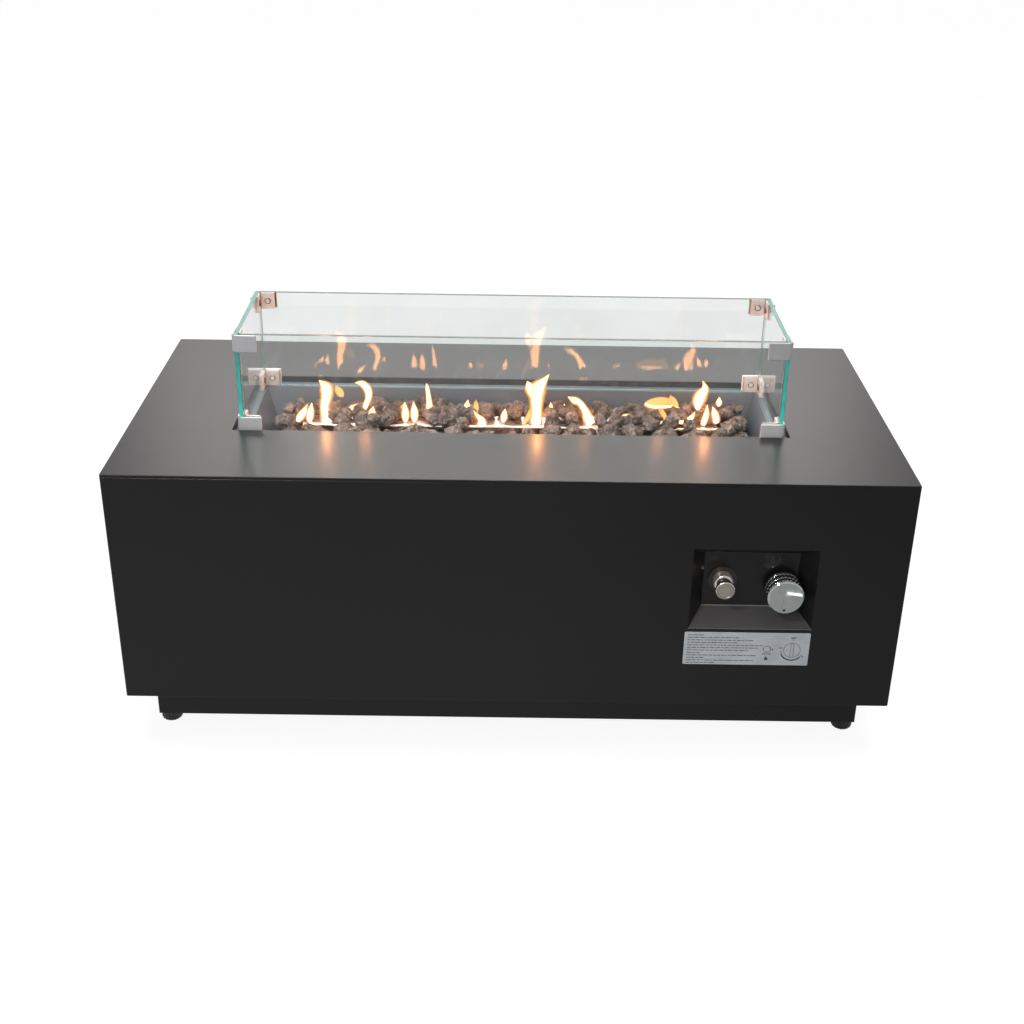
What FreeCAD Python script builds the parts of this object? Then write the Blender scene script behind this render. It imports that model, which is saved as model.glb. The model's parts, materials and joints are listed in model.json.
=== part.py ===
# Fire pit table: a low sheet-metal table with a gas burner under lava rocks,
# a lift-off glass wind guard and a recessed control panel in its front.
# Millimetres. +Z is up, the front faces -Y, and the origin lies on the floor
# under the middle of the table.

import FreeCAD
import Part
import Sketcher
import math
import os
import re

Vector = FreeCAD.Vector

SIZES = {
    # Table
    "table_width": 1070,
    "table_depth": 514,
    "table_height": 420,
    "sheet_steel": 1.5,
    "corner_radius": 3,
    # Top panel, with a hemmed edge and a lip round the fire opening
    "top_steel": 2,
    "top_edge": 4,
    "hem_width": 14,
    "top_edge_bevel": 0.8,
    "opening_length": 776,
    "opening_depth": 209,
    # Body panels
    "corner_return": 20,
    "panel_seam": 0.4,
    "upper_flange": 18,
    "lower_flange": 50,
    "post_leg": 32,
    "post_steel": 2,
    # Plinth and levelling feet
    "plinth_inset": 34,
    "plinth_height": 52,
    "plinth_flange": 37.5,
    "foot_height": 25,
    "foot_radius": 15,
    "foot_tread_radius": 12,
    "foot_inset": 11,
    "foot_setback": 29,
    "foot_ribs": 18,
    "foot_rib_depth": 1,
    "foot_shoulder": 3,
    "stud_radius": 4,
    "stud_length": 30,
    "foot_nut_flats": 13,
    "foot_nut_height": 6.5,
    # Vents and gas inlet in the back panel
    "vent_length": 90,
    "vent_height": 8,
    "vent_pitch": 130,
    "vent_count": 4,
    "vent_rows_apart": 22,
    "vent_drop": 60,
    "inlet_rise": 53,
    "inlet_flats": 26,
    "inlet_proud": 8,
    "inlet_bore_radius": 7.5,
    "inlet_bore_length": 10,
    "inlet_shank_radius": 11,
    "inlet_inner_length": 26,
    "inlet_nut_height": 6,
    # Fire bowl
    "ledge_drop": 9.5,
    "ledge_width": 20,
    "ledge_spread": 14,
    "bowl_steel": 1.5,
    "bowl_depth": 55.5,
    "bowl_taper": 16.5,
    "drain_radius": 5,
    "drain_spacing": 520,
    "rail_size": 20,
    "rail_wall": 1.5,
    # Burner and its feed
    "burner_length": 604,
    "burner_width": 40,
    "burner_height": 22,
    "burner_wall": 1.2,
    "burner_lift": 18,
    "burner_edge_radius": 3,
    "port_length": 12,
    "port_width": 2.4,
    "port_pitch": 38,
    "port_count": 15,
    "port_row_offset": 11,
    "support_length": 30,
    "support_steel": 1.5,
    "support_spacing": 440,
    "stub_radius": 10,
    "stub_bore_radius": 7,
    "stub_reach": 14,
    "mixer_radius": 14,
    "mixer_length": 52,
    "mixer_collar": 8,
    "window_count": 4,
    "window_width": 9,
    "window_height": 16,
    "orifice_radius": 6,
    "orifice_length": 16,
    "orifice_flats": 16,
    "orifice_head": 6,
    "jet_radius": 1.4,
    # Lava rocks
    "rock_count": 15,
    "rock_gap": 1.2,
    "rock_height": 47,
    "rock_side_gap": 2,
    # Spark electrode and thermocouple
    "sensor_offset": 132,
    "sensor_spacing": 16,
    "sensor_plate_length": 40,
    "sensor_plate_width": 12,
    "electrode_radius": 3,
    "electrode_length": 34,
    "electrode_wire_radius": 1,
    "electrode_wire_reach": 11,
    "probe_radius": 2.5,
    "probe_length": 44,
    "probe_tip_radius": 1.8,
    "probe_tip_length": 17,
    "lead_radius": 1.5,
    "lead_bend": 18,
    # Control niche
    "niche_width": 169,
    "niche_height": 122.5,
    "niche_depth": 30,
    "niche_inset": 20,
    "niche_flange": 12,
    "niche_from_side": 205.5,
    "niche_drop": 97.3,
    # Instruction plate
    "plate_width": 173,
    "plate_height": 52,
    "plate_thickness": 0.8,
    "plate_gap": 5,
    "plate_shift": 2,
    "plate_corner_radius": 2,
    # Gas control knob
    "knob_shift": 43.4,
    "knob_drop": 7.35,
    "knob_radius": 25,
    "grip_radius": 23.5,
    "skirt_radius": 24.3,
    "skirt_height": 4,
    "knob_length": 30,
    "knob_proud": 8,
    "knob_travel": 3,
    "flute_count": 36,
    "flute_depth": 1,
    "knob_face_bevel": 2,
    "knob_band": 3.5,
    "flute_length": 17,
    "knob_wall": 3,
    "pointer_width": 7,
    "pointer_depth": 0.8,
    "pointer_margin": 3,
    "hub_radius": 7,
    "hub_recess": 6,
    "bezel_radius": 18,
    "bezel_bore_radius": 12.5,
    "bezel_thickness": 3.5,
    # Gas valve
    "valve_width": 36,
    "valve_height": 38,
    "valve_length": 44,
    "valve_edge": 2,
    "neck_radius": 7,
    "neck_length": 7,
    "valve_nut_flats": 20,
    "valve_nut_height": 3,
    "spindle_radius": 3,
    "spindle_flat": 1,
    "spindle_grip": 12,
    "spindle_depth": 14,
    "washer_thickness": 1,
    "running_clearance": 0.05,
    "port_boss_radius": 8,
    "port_boss_length": 8,
    "spring_radius": 5.6,
    "spring_wire_radius": 0.5,
    "spring_turns": 3,
    # Igniter
    "igniter_shift": 38.1,
    "igniter_drop": 0.85,
    "button_radius": 13.2,
    "button_length": 6,
    "button_proud": 2,
    "button_rim": 3,
    "button_dish": 0.6,
    "plunger_radius": 9,
    "collar_radius": 14,
    "collar_length": 14,
    "collar_shoulder": 3,
    "collar_lip": 3,
    "collar_crown": 1.2,
    "collar_bulge": 4,
    "flange_radius": 20,
    "flange_thickness": 1.5,
    "igniter_body_radius": 11.5,
    "igniter_body_length": 72,
    "igniter_wall": 2.2,
    "igniter_nut_flats": 30,
    "igniter_nut_height": 5,
    "battery_radius": 7.1,
    "battery_length": 50,
    "battery_tip_radius": 3,
    "battery_tip_length": 1.5,
    "terminal_radius": 2,
    "terminal_length": 5,
    # Gas tubes
    "gas_tube_radius": 5,
    "gas_tube_wall": 1,
    "gas_tube_bend": 28,
    "capillary_rise": 36.9,
    "tube_nut_flats": 17,
    "tube_nut_length": 12,
    # Glass wind guard
    "guard_length": 764,
    "guard_depth": 195,
    "guard_height": 145,
    "glass_thickness": 6,
    "glass_gap": 1,
    "glass_hole_radius": 3.5,
    "bracket_leg": 34,
    "bracket_height": 24.5,
    "bracket_wall": 3,
    "bracket_radius": 7,
    "clamp_length": 20,
    "clamp_wall": 2,
    "clamp_gap": 0.5,
    "screw_radius": 2,
    "screw_head_radius": 4.5,
    "screw_head_height": 2.6,
    "screw_bite": 2,
    # Small bevels, and the clearance between pieces that move apart
    "edge_bevel": 1,
    "part_clearance": 0.3,
}

PLACES = {
    # Heights from the floor
    "body_top": "table_height - top_edge",
    "plinth_bottom": "foot_height",
    "body_bottom": "plinth_bottom + plinth_height",
    "inlet_z": "body_bottom + inlet_rise",
    "ledge_top": "table_height - ledge_drop",
    "rail_top": "ledge_top - bowl_steel",
    "bowl_floor": "ledge_top - bowl_depth",
    "bowl_underside": "bowl_floor - bowl_steel",
    "burner_bottom": "bowl_floor + burner_lift",
    "burner_top": "burner_bottom + burner_height",
    "mixer_bottom": "bowl_underside - mixer_length",
    "orifice_bottom": "mixer_bottom - orifice_head",
    "guard_bottom": "ledge_top + part_clearance",
    "guard_top": "guard_bottom + guard_height",
    "niche_top": "table_height - niche_drop",
    "niche_middle": "niche_top - niche_height / 2",
    "knob_z": "niche_middle - knob_drop",
    "igniter_z": "niche_middle - igniter_drop",
    "capillary_z": "knob_z + valve_height / 2 + capillary_rise",
    "plate_top": "niche_top - niche_height - plate_gap",
    "foot_top": "plinth_bottom - part_clearance",
    # Distances from the middle, along X and Y
    "half_width": "table_width / 2",
    "half_depth": "table_depth / 2",
    "niche_centre": "half_width - niche_from_side",
    "knob_x": "niche_centre + knob_shift",
    "igniter_x": "niche_centre - igniter_shift",
    "opening_half_length": "opening_length / 2",
    "opening_half_depth": "opening_depth / 2",
    "bowl_half_length": "opening_half_length - ledge_width",
    "bowl_half_depth": "opening_half_depth - ledge_width",
    "floor_half_length": "bowl_half_length - bowl_taper",
    "floor_half_depth": "bowl_half_depth - bowl_taper",
    "plinth_half_width": "half_width - plinth_inset",
    "plinth_half_depth": "half_depth - plinth_inset",
    "foot_x": "plinth_half_width - foot_inset",
    "foot_y": "plinth_half_depth - foot_setback",
    "guard_half_length": "guard_length / 2",
    "guard_half_depth": "guard_depth / 2",
    "glass_end": "guard_half_length - bracket_wall",
    "glass_face": "guard_half_depth - bracket_wall",
    "screw_reach": "bracket_wall + glass_thickness + clamp_wall + clamp_gap + clamp_length / 2",
    "sensor_y": "-(burner_width + sensor_plate_width) / 2",
    # Control panel, along Y
    "front_face": "-half_depth",
    "panel_back": "front_face + sheet_steel",
    "niche_floor": "panel_back + niche_depth",
    "niche_rear": "niche_floor + sheet_steel",
    "knob_face": "front_face - knob_proud",
    "knob_rear": "knob_face + knob_length",
    "valve_rear": "niche_rear + valve_length",
    "neck_front": "niche_floor - neck_length",
    "hub_rear": "knob_rear - hub_recess",
    "spindle_front": "hub_rear - spindle_grip",
    "spindle_rear": "niche_rear + spindle_depth",
    "washer_front": "hub_rear + part_clearance",
    "button_face": "front_face - button_proud",
    "button_rear": "button_face + button_length",
    "flange_front": "niche_floor - flange_thickness",
    "collar_front": "flange_front - collar_length",
    "igniter_rear": "niche_rear + igniter_body_length",
    "igniter_bore_radius": "igniter_body_radius - igniter_wall",
    "neck_bore_radius": "plunger_radius + running_clearance",
    "plunger_rear": "niche_rear",
    "battery_front": "igniter_rear - igniter_wall - battery_length",
    "inlet_face": "half_depth + inlet_proud",
    "inlet_inner": "half_depth - sheet_steel - inlet_inner_length",
    "valve_middle": "niche_rear + valve_length / 2",
}

doc = FreeCAD.newDocument("fire_pit_table")


def fill_sheet(name, cells):
    """A sheet with one named cell in each row."""
    sheet = doc.addObject("Spreadsheet::Sheet", name)
    for row, (alias, value) in enumerate(cells.items(), start=1):
        sheet.set(f"A{row}", alias)
        sheet.set(f"B{row}", str(value))
        sheet.setAlias(f"B{row}", alias)
    return sheet


def bound(formula):
    """The formula with each size or place named by the sheet that holds it."""
    def with_sheet(found):
        word = found.group()
        if word in SIZES:
            return "Sizes." + word
        if word in PLACES:
            return "Places." + word
        return word
    return re.sub(r"[a-z]\w*", with_sheet, str(formula))


fill_sheet("Sizes", SIZES)
fill_sheet("Places", {alias: "=" + bound(formula) for alias, formula in PLACES.items()})
doc.recompute()


def value(alias):
    """The number that a cell of either sheet holds."""
    sheet = doc.Sizes if alias in SIZES else doc.Places
    return float(sheet.get(alias))


def bind(thing, **formulas):
    """Ties properties to formulas; x, y and z are the thing's place."""
    for name, formula in formulas.items():
        path = f"Placement.Base.{name}" if name in ("x", "y", "z") else name
        thing.setExpression(path, bound(formula))


# Turns that lay an upright piece along an axis
UPRIGHT = FreeCAD.Rotation()
ALONG_X = FreeCAD.Rotation(Vector(0, 1, 0), 90)
ALONG_Y = FreeCAD.Rotation(Vector(1, 0, 0), -90)
TOWARDS_FRONT = FreeCAD.Rotation(Vector(1, 0, 0), 90)
SIDEWAYS = FreeCAD.Rotation(Vector(0, 0, 1), -90)


def block(label, low, high):
    """A box between two corners, each given as three formulas."""
    box = doc.addObject("Part::Box", label)
    sides = [f"({end}) - ({start})" for start, end in zip(low, high)]
    bind(box, Length=sides[0], Width=sides[1], Height=sides[2], x=low[0], y=low[1], z=low[2])
    return box


def rod(label, start, radius, length, turn=UPRIGHT):
    """A cylinder that starts at a place given as three formulas."""
    cylinder = doc.addObject("Part::Cylinder", label)
    cylinder.Placement = FreeCAD.Placement(Vector(), turn)
    bind(cylinder, Radius=radius, Height=length, x=start[0], y=start[1], z=start[2])
    return cylinder


def peg(label, start, radius, length, turn=UPRIGHT, sides=8):
    """A bar with flat sides, which stands for a small round one."""
    prism = doc.addObject("Part::Prism", label)
    prism.Polygon = sides
    prism.Placement = FreeCAD.Placement(Vector(), turn)
    bind(prism, Circumradius=radius, Height=length, x=start[0], y=start[1], z=start[2])
    return prism


def cut(label, base, *tools):
    """The base with every tool taken away."""
    for number, tool in enumerate(tools, start=1):
        last = number == len(tools)
        result = doc.addObject("Part::Cut", label if last else label + "_part_cut")
        result.Base = base
        result.Tool = tool
        base = result
    return base


def fuse(label, *pieces):
    """One solid from pieces that touch."""
    result = doc.addObject("Part::MultiFuse", label)
    result.Shapes = list(pieces)
    result.Refine = True
    return result


def group(label, *pieces):
    """Separate solids that share a node."""
    result = doc.addObject("Part::Compound", label)
    result.Links = list(pieces)
    return result


def mirrored(label, source, *normals):
    """A copy of a piece, mirrored in planes through the middle of the table."""
    for normal in normals:
        copy = doc.addObject("Part::Mirroring", label)
        copy.Source = source
        copy.Normal = normal
        source = copy
    return source


def hexagon(label, start, flats, height, bore, turn=UPRIGHT):
    """A hexagonal nut that starts at a place, with a plain bore."""
    prism = peg(label + "_prism", start, f"({flats}) / (2 * cos(30))", height, turn, 6)
    return cut(label, prism, rod(label + "_bore", start, bore, height, turn))


def new_body(label, place=("0", "0", "0"), turn=UPRIGHT):
    body = doc.addObject("PartDesign::Body", label)
    body.Placement = FreeCAD.Placement(Vector(), turn)
    bind(body, x=place[0], y=place[1], z=place[2])
    return body


def empty_sketch(body, plane, offset="0"):
    """A sketch on one of the body's own planes, moved along the plane's normal."""
    sketch = body.newObject("Sketcher::SketchObject", "Sketch")
    support = [feature for feature in body.Origin.OriginFeatures if feature.Role == plane]
    sketch.AttachmentSupport = [(support[0], "")]
    sketch.MapMode = "FlatFace"
    sketch.setExpression("AttachmentOffset.Base.z", bound(offset))
    return sketch


def hold_point(sketch, edge, x, y):
    """Ties the start point of an edge, or a circle's centre, to two formulas."""
    point = 3 if sketch.Geometry[edge].TypeId == "Part::GeomCircle" else 1
    for kind, formula in (("DistanceX", x), ("DistanceY", y)):
        held = sketch.addConstraint(Sketcher.Constraint(kind, -1, 1, edge, point, 1.0))
        sketch.setExpression(f"Constraints[{held}]", bound(formula))


def add_outline(sketch, corners):
    """A closed outline with straight sides, each corner tied to two formulas."""
    first = len(sketch.Geometry)
    count = len(corners)
    turns = [2 * math.pi * number / count for number in range(count + 1)]
    rough = [Vector(math.cos(turn), math.sin(turn), 0) for turn in turns]
    for number in range(count):
        sketch.addGeometry(Part.LineSegment(rough[number], rough[number + 1]), False)
    for number in range(count):
        following = first + (number + 1) % count
        sketch.addConstraint(Sketcher.Constraint("Coincident", first + number, 2, following, 1))
    for number, (x, y) in enumerate(corners):
        hold_point(sketch, first + number, x, y)


def add_circle(sketch, x, y, radius):
    edge = sketch.addGeometry(Part.Circle(Vector(1, 1, 0), Vector(0, 0, 1), 1), False)
    hold_point(sketch, edge, x, y)
    held = sketch.addConstraint(Sketcher.Constraint("Radius", edge, 1.0))
    sketch.setExpression(f"Constraints[{held}]", bound(radius))


def rectangle(low_x, low_y, high_x, high_y):
    return [(low_x, low_y), (high_x, low_y), (high_x, high_y), (low_x, high_y)]


def centred(half_x, half_y):
    return rectangle(f"-({half_x})", f"-({half_y})", half_x, half_y)


def pad(body, plane, offset, length, *outlines):
    """Adds the outlines, pushed up from the offset; a second outline is a hole."""
    sketch = empty_sketch(body, plane, offset)
    for corners in outlines:
        add_outline(sketch, corners)
    feature = body.newObject("PartDesign::Pad", "Pad")
    feature.Profile = sketch
    feature.setExpression("Length", bound(length))
    body.Tip = feature
    return feature


def must_remove(body, feature, volume_before):
    """Turns a cut round if it pointed away from the solid."""
    doc.recompute()
    if body.Shape.Volume > volume_before - 0.01:
        feature.Reversed = True
        doc.recompute()
    if body.Shape.Volume > volume_before - 0.01:
        raise RuntimeError(f"{feature.Name} in {body.Name} removes nothing")


def pocket(body, sketch, depth=None):
    """Takes the sketch's outline away, through the whole body if no depth is given."""
    doc.recompute()
    volume = body.Shape.Volume
    feature = body.newObject("PartDesign::Pocket", "Pocket")
    feature.Profile = sketch
    if depth is None:
        feature.Type = "ThroughAll"
        feature.Midplane = True
    else:
        feature.setExpression("Length", bound(depth))
    body.Tip = feature
    must_remove(body, feature, volume)
    return feature


def outline_pocket(body, plane, offset, corners, depth=None):
    sketch = empty_sketch(body, plane, offset)
    add_outline(sketch, corners)
    return pocket(body, sketch, depth)


def hole_pocket(body, plane, offset, centres, radius, depth=None):
    sketch = empty_sketch(body, plane, offset)
    for x, y in centres:
        add_circle(sketch, x, y, radius)
    return pocket(body, sketch, depth)


def loft(body, kind, plane, first, second):
    """A straight-sided taper between two outlines, each with its own offset."""
    sketches = []
    for offset, corners in (first, second):
        sketch = empty_sketch(body, plane, offset)
        add_outline(sketch, corners)
        sketches.append(sketch)
    feature = body.newObject(kind, "Loft")
    feature.Profile = sketches[0]
    feature.Sections = [sketches[1]]
    feature.Ruled = True
    body.Tip = feature
    doc.recompute()
    return feature


def round_edges(body, radius, is_edge, kind="Fillet"):
    """Rounds, or with the kind Chamfer bevels, each edge of the last feature that the test picks."""
    doc.recompute()
    base = body.Tip
    picked = [f"Edge{number}" for number, edge in enumerate(base.Shape.Edges, start=1) if is_edge(edge)]
    if not picked:
        raise RuntimeError(f"{body.Name} has no such edge to round")
    feature = body.newObject("PartDesign::" + kind, kind)
    feature.Base = (base, picked)
    feature.setExpression("Radius" if kind == "Fillet" else "Size", bound(radius))
    body.Tip = feature
    doc.recompute()
    return feature


def repeat(body, kind, feature, count, **settings):
    """Repeats a feature in a line or round an axis."""
    pattern = body.newObject(kind, "Pattern")
    pattern.Originals = [feature]
    pattern.setExpression("Occurrences", bound(count))
    for name, setting in settings.items():
        if name in ("Length", "Angle"):
            pattern.setExpression(name, bound(setting))
        else:
            setattr(pattern, name, setting)
    body.Tip = pattern
    doc.recompute()
    return pattern


def turned(label, place, profile, plane="XZ_Plane", turn=UPRIGHT):
    """A piece turned about its own upright axis, or about Y on the XY plane."""
    body = new_body(label, place, turn)
    sketch = empty_sketch(body, plane)
    add_outline(sketch, profile)
    feature = body.newObject("PartDesign::Revolution", "Revolution")
    feature.Profile = sketch
    feature.ReferenceAxis = (sketch, ["V_Axis"])
    body.Tip = feature
    doc.recompute()
    return body


def along(edge, axis):
    """Whether an edge is straight and runs along an axis, 0 for X, 1 for Y, 2 for Z."""
    ends = edge.Vertexes
    if len(ends) < 2 or edge.Curve.TypeId != "Part::GeomLine":
        return False
    step = ends[1].Point - ends[0].Point
    return abs(step[axis]) > 0.999 * step.Length


def near(number, alias):
    return abs(abs(number) - abs(value(alias))) < 0.01


def ring(middle, first, second, radius, sides, notch=0):
    """A closed outline across a bar, spanned by two unit vectors; a notch deepens every second corner."""
    corners = []
    for side in range(sides + 1):
        angle = 2 * math.pi * (side % sides) / sides
        reach = radius - notch * (side % 2)
        corners.append(middle + first * (reach * math.cos(angle)) + second * (reach * math.sin(angle)))
    return Part.makePolygon(corners)


def bent_bar(points, bend, radius, sides=8, steps=5):
    """A bar along straight runs that are joined by arcs of one radius."""
    ahead = (points[1] - points[0]).normalize()
    first = ahead.cross(Vector(ahead.z, ahead.x, ahead.y)).normalize()
    rings = [ring(points[0], first, ahead.cross(first), radius, sides)]
    for corner, after in zip(points[1:], points[2:]):
        out = (after - corner).normalize()
        turn = math.degrees(ahead.getAngle(out))
        axis = ahead.cross(out).normalize()
        spoke = (ahead - out).normalize() * (bend / math.cos(math.radians(turn / 2)))
        centre = corner - spoke
        arm = corner - ahead * (bend * math.tan(math.radians(turn / 2))) - centre
        for step in range(steps + 1):
            part_turn = FreeCAD.Rotation(axis, turn * step / steps)
            here = part_turn.multVec(first)
            rings.append(ring(centre + part_turn.multVec(arm), here, part_turn.multVec(ahead).cross(here),
                              radius, sides))
        first = here
        ahead = out
    rings.append(ring(points[-1], first, ahead.cross(first), radius, sides))
    return Part.makeLoft(rings, True, True)


def feature_of(label, shape):
    feature = doc.addObject("Part::Feature", label)
    feature.Shape = shape
    return feature


def coil_spring(label, start, length, radius, wire, turns):
    """A compression spring along Y, wound from short straight facets."""
    steps = 10
    rise = length - 2 * wire
    rings = []
    for step in range(turns * steps + 1):
        turn = 2 * math.pi * step / steps
        outward = Vector(math.cos(turn), 0, math.sin(turn))
        middle = start + outward * radius + Vector(0, wire + rise * step / (turns * steps), 0)
        rings.append(ring(middle, outward, Vector(0, 1, 0), wire, 6))
    return feature_of(label, Part.makeLoft(rings, True, True))


# Table top

def top_panel():
    """A steel sheet with its edge folded back under itself and a lip folded down round the fire."""
    body = new_body("top_panel")
    pad(body, "XY_Plane", "body_top", "top_edge", centred("half_width", "half_depth"))
    round_edges(body, "corner_radius", lambda edge: along(edge, 2))
    is_top = lambda edge: edge.BoundBox.ZMin > value("table_height") - 0.01
    round_edges(body, "top_edge_bevel", is_top, "Chamfer")
    inside = centred("half_width - hem_width", "half_depth - hem_width")
    outline_pocket(body, "XY_Plane", "body_top", inside, "top_edge - top_steel")
    opening = centred("opening_half_length", "opening_half_depth")
    lip = centred("opening_half_length + top_steel", "opening_half_depth + top_steel")
    pad(body, "XY_Plane", "ledge_top", "ledge_drop - top_steel", lip, opening)
    outline_pocket(body, "XY_Plane", "table_height", opening)
    is_lip_edge = lambda edge: edge.BoundBox.ZMin > value("table_height") - 0.01 and near(
        edge.BoundBox.YMax, "opening_half_depth") and near(edge.BoundBox.YMin, "opening_half_depth")
    round_edges(body, "top_edge_bevel", is_lip_edge, "Chamfer")
    return body


# Body panels

def tray_panel(label, side):
    """A wide panel with folded ends and a foot flange; side is -1 for the front and 1 for the back."""
    body = new_body(label)
    outer = f"{side} * half_depth"
    inner = f"{side} * (half_depth - sheet_steel)"
    fold = f"{side} * (half_depth - corner_return)"
    section = [("-half_width", outer), ("half_width", outer), ("half_width", fold)]
    section += [("half_width - sheet_steel", fold), ("half_width - sheet_steel", inner)]
    section += [("-half_width + sheet_steel", inner), ("-half_width + sheet_steel", fold)]
    section += [("-half_width", fold)]
    pad(body, "XY_Plane", "body_bottom", "body_top - body_bottom", section)
    is_outer = lambda edge: along(edge, 2) and near(edge.BoundBox.YMin, "half_depth")
    round_edges(body, "corner_radius", is_outer)
    flange_end = f"{side} * (half_depth - lower_flange)"
    corners = rectangle("-half_width + sheet_steel", inner, "half_width - sheet_steel", flange_end)
    pad(body, "XY_Plane", "body_bottom", "sheet_steel", corners)
    return body


def top_strips():
    """Flat strips welded inside the upper edges of front and back, which the table top lies on."""
    end = "half_width - sheet_steel"
    outer = "half_depth - sheet_steel"
    inner = "half_depth - upper_flange"
    low = "body_top - sheet_steel"
    front = block("front_top_strip", (f"-({end})", f"-({outer})", low), (end, f"-({inner})", "body_top"))
    back = block("back_top_strip", (f"-({end})", inner, low), (end, outer, "body_top"))
    return group("top_strips", front, back)


def front_panel():
    """The front, with the control niche's window cut in it."""
    body = tray_panel("front_panel", -1)
    low_x = "niche_centre - niche_width / 2"
    high_x = "niche_centre + niche_width / 2"
    window = rectangle(low_x, "niche_top - niche_height", high_x, "niche_top")
    outline_pocket(body, "XZ_Plane", "half_depth", window, "sheet_steel")
    return body


def back_panel():
    """The back, with two rows of vent slots and the gas inlet's hole."""
    body = tray_panel("back_panel", 1)
    row_start = "-vent_pitch * (vent_count - 1) / 2 - vent_length / 2"
    for row in (0, 1):
        high = f"body_top - vent_drop - {row} * vent_rows_apart"
        slot = rectangle(row_start, f"{high} - vent_height", f"{row_start} + vent_length", high)
        feature = outline_pocket(body, "XZ_Plane", "-half_depth", slot, "sheet_steel")
        direction = (feature.Profile[0], ["H_Axis"])
        reach = "vent_pitch * (vent_count - 1)"
        repeat(body, "PartDesign::LinearPattern", feature, "vent_count", Direction=direction, Length=reach)
    centre = [("knob_x", "inlet_z")]
    hole_pocket(body, "XZ_Plane", "-half_depth", centre, "inlet_shank_radius + part_clearance", "sheet_steel")
    return body


def side_panel(label, side):
    """A flat end between the folded ends of front and back; side is -1 for the left, 1 for the right."""
    body = new_body(label)
    outer = f"{side} * half_width"
    inner = f"{side} * (half_width - sheet_steel)"
    reach = "half_depth - corner_return - panel_seam"
    pad(body, "XY_Plane", "body_bottom", "body_top - body_bottom",
        rectangle(outer, f"-({reach})", inner, reach))
    for start, width in (("body_bottom", "lower_flange"), ("body_top - sheet_steel", "upper_flange")):
        flange_end = f"{side} * (half_width - {width})"
        flange_reach = f"half_depth - {width} - panel_seam"
        corners = rectangle(inner, f"-({flange_reach})", flange_end, flange_reach)
        pad(body, "XY_Plane", start, "sheet_steel", corners)
    return body


def corner_posts():
    """Four angles that tie the panels together inside the corners."""
    body = new_body("corner_post")
    x = "half_width - sheet_steel"
    y = "half_depth - sheet_steel"
    corners = [(f"-({x})", f"-({y})"), (f"-({x}) + post_leg", f"-({y})")]
    corners += [(f"-({x}) + post_leg", f"-({y}) + post_steel")]
    corners += [(f"-({x}) + post_steel", f"-({y}) + post_steel")]
    corners += [(f"-({x}) + post_steel", f"-({y}) + post_leg"), (f"-({x})", f"-({y}) + post_leg")]
    height = "body_top - body_bottom - 2 * sheet_steel"
    pad(body, "XY_Plane", "body_bottom + sheet_steel", height, corners)
    is_corner = lambda edge: along(edge, 2) and edge.BoundBox.XMin < 0.01 - value("half_width") + value(
        "sheet_steel") and edge.BoundBox.YMin < 0.01 - value("half_depth") + value("sheet_steel")
    round_edges(body, "corner_radius", is_corner)
    return four_corners("corner_posts", body)


def four_corners(label, source):
    """The source, which stands at the front left, and its three mirrored copies."""
    across = Vector(1, 0, 0)
    deep = Vector(0, 1, 0)
    right = mirrored(label + "_right", source, across)
    left_back = mirrored(label + "_left_back", source, deep)
    right_back = mirrored(label + "_right_back", source, across, deep)
    return group(label, source, right, left_back, right_back)


# Plinth and feet

def plinth_channel(label, side):
    """A long channel of the plinth with two foot holes; side is -1 for the front and 1 for the back."""
    body = new_body(label)
    outer = f"{side} * plinth_half_depth"
    inner = f"{side} * (plinth_half_depth - sheet_steel)"
    flange_end = f"{side} * (plinth_half_depth - plinth_flange)"
    pad(body, "XY_Plane", "plinth_bottom", "plinth_height",
        rectangle("-plinth_half_width", outer, "plinth_half_width", inner))
    reach = "plinth_half_width - sheet_steel"
    for start in ("plinth_bottom", "body_bottom - sheet_steel"):
        pad(body, "XY_Plane", start, "sheet_steel", rectangle(f"-({reach})", inner, reach, flange_end))
    feet = [(f"{across} * foot_x", f"{side} * foot_y") for across in (-1, 1)]
    hole_pocket(body, "XY_Plane", "plinth_bottom", feet, "stud_radius + part_clearance", "sheet_steel")
    return body


def plinth_end(label, side):
    """A short channel welded between the long ones; side is -1 for the left, 1 for the right."""
    body = new_body(label)
    outer = f"{side} * plinth_half_width"
    inner = f"{side} * (plinth_half_width - sheet_steel)"
    reach = "plinth_half_depth - sheet_steel"
    pad(body, "XY_Plane", "plinth_bottom", "plinth_height", rectangle(outer, f"-({reach})", inner, reach))
    flange_end = f"{side} * (plinth_half_width - plinth_flange)"
    flange_reach = "plinth_half_depth - plinth_flange"
    for start in ("plinth_bottom", "body_bottom - sheet_steel"):
        corners = rectangle(inner, f"-({flange_reach})", flange_end, flange_reach)
        pad(body, "XY_Plane", start, "sheet_steel", corners)
    return body


def foot_nuts():
    """Nuts welded over the foot holes."""
    start = ("-foot_x", "-foot_y", "plinth_bottom + sheet_steel")
    nut = hexagon("foot_nut", start, "foot_nut_flats", "foot_nut_height", "stud_radius + running_clearance")
    return four_corners("foot_nuts", nut)


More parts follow.
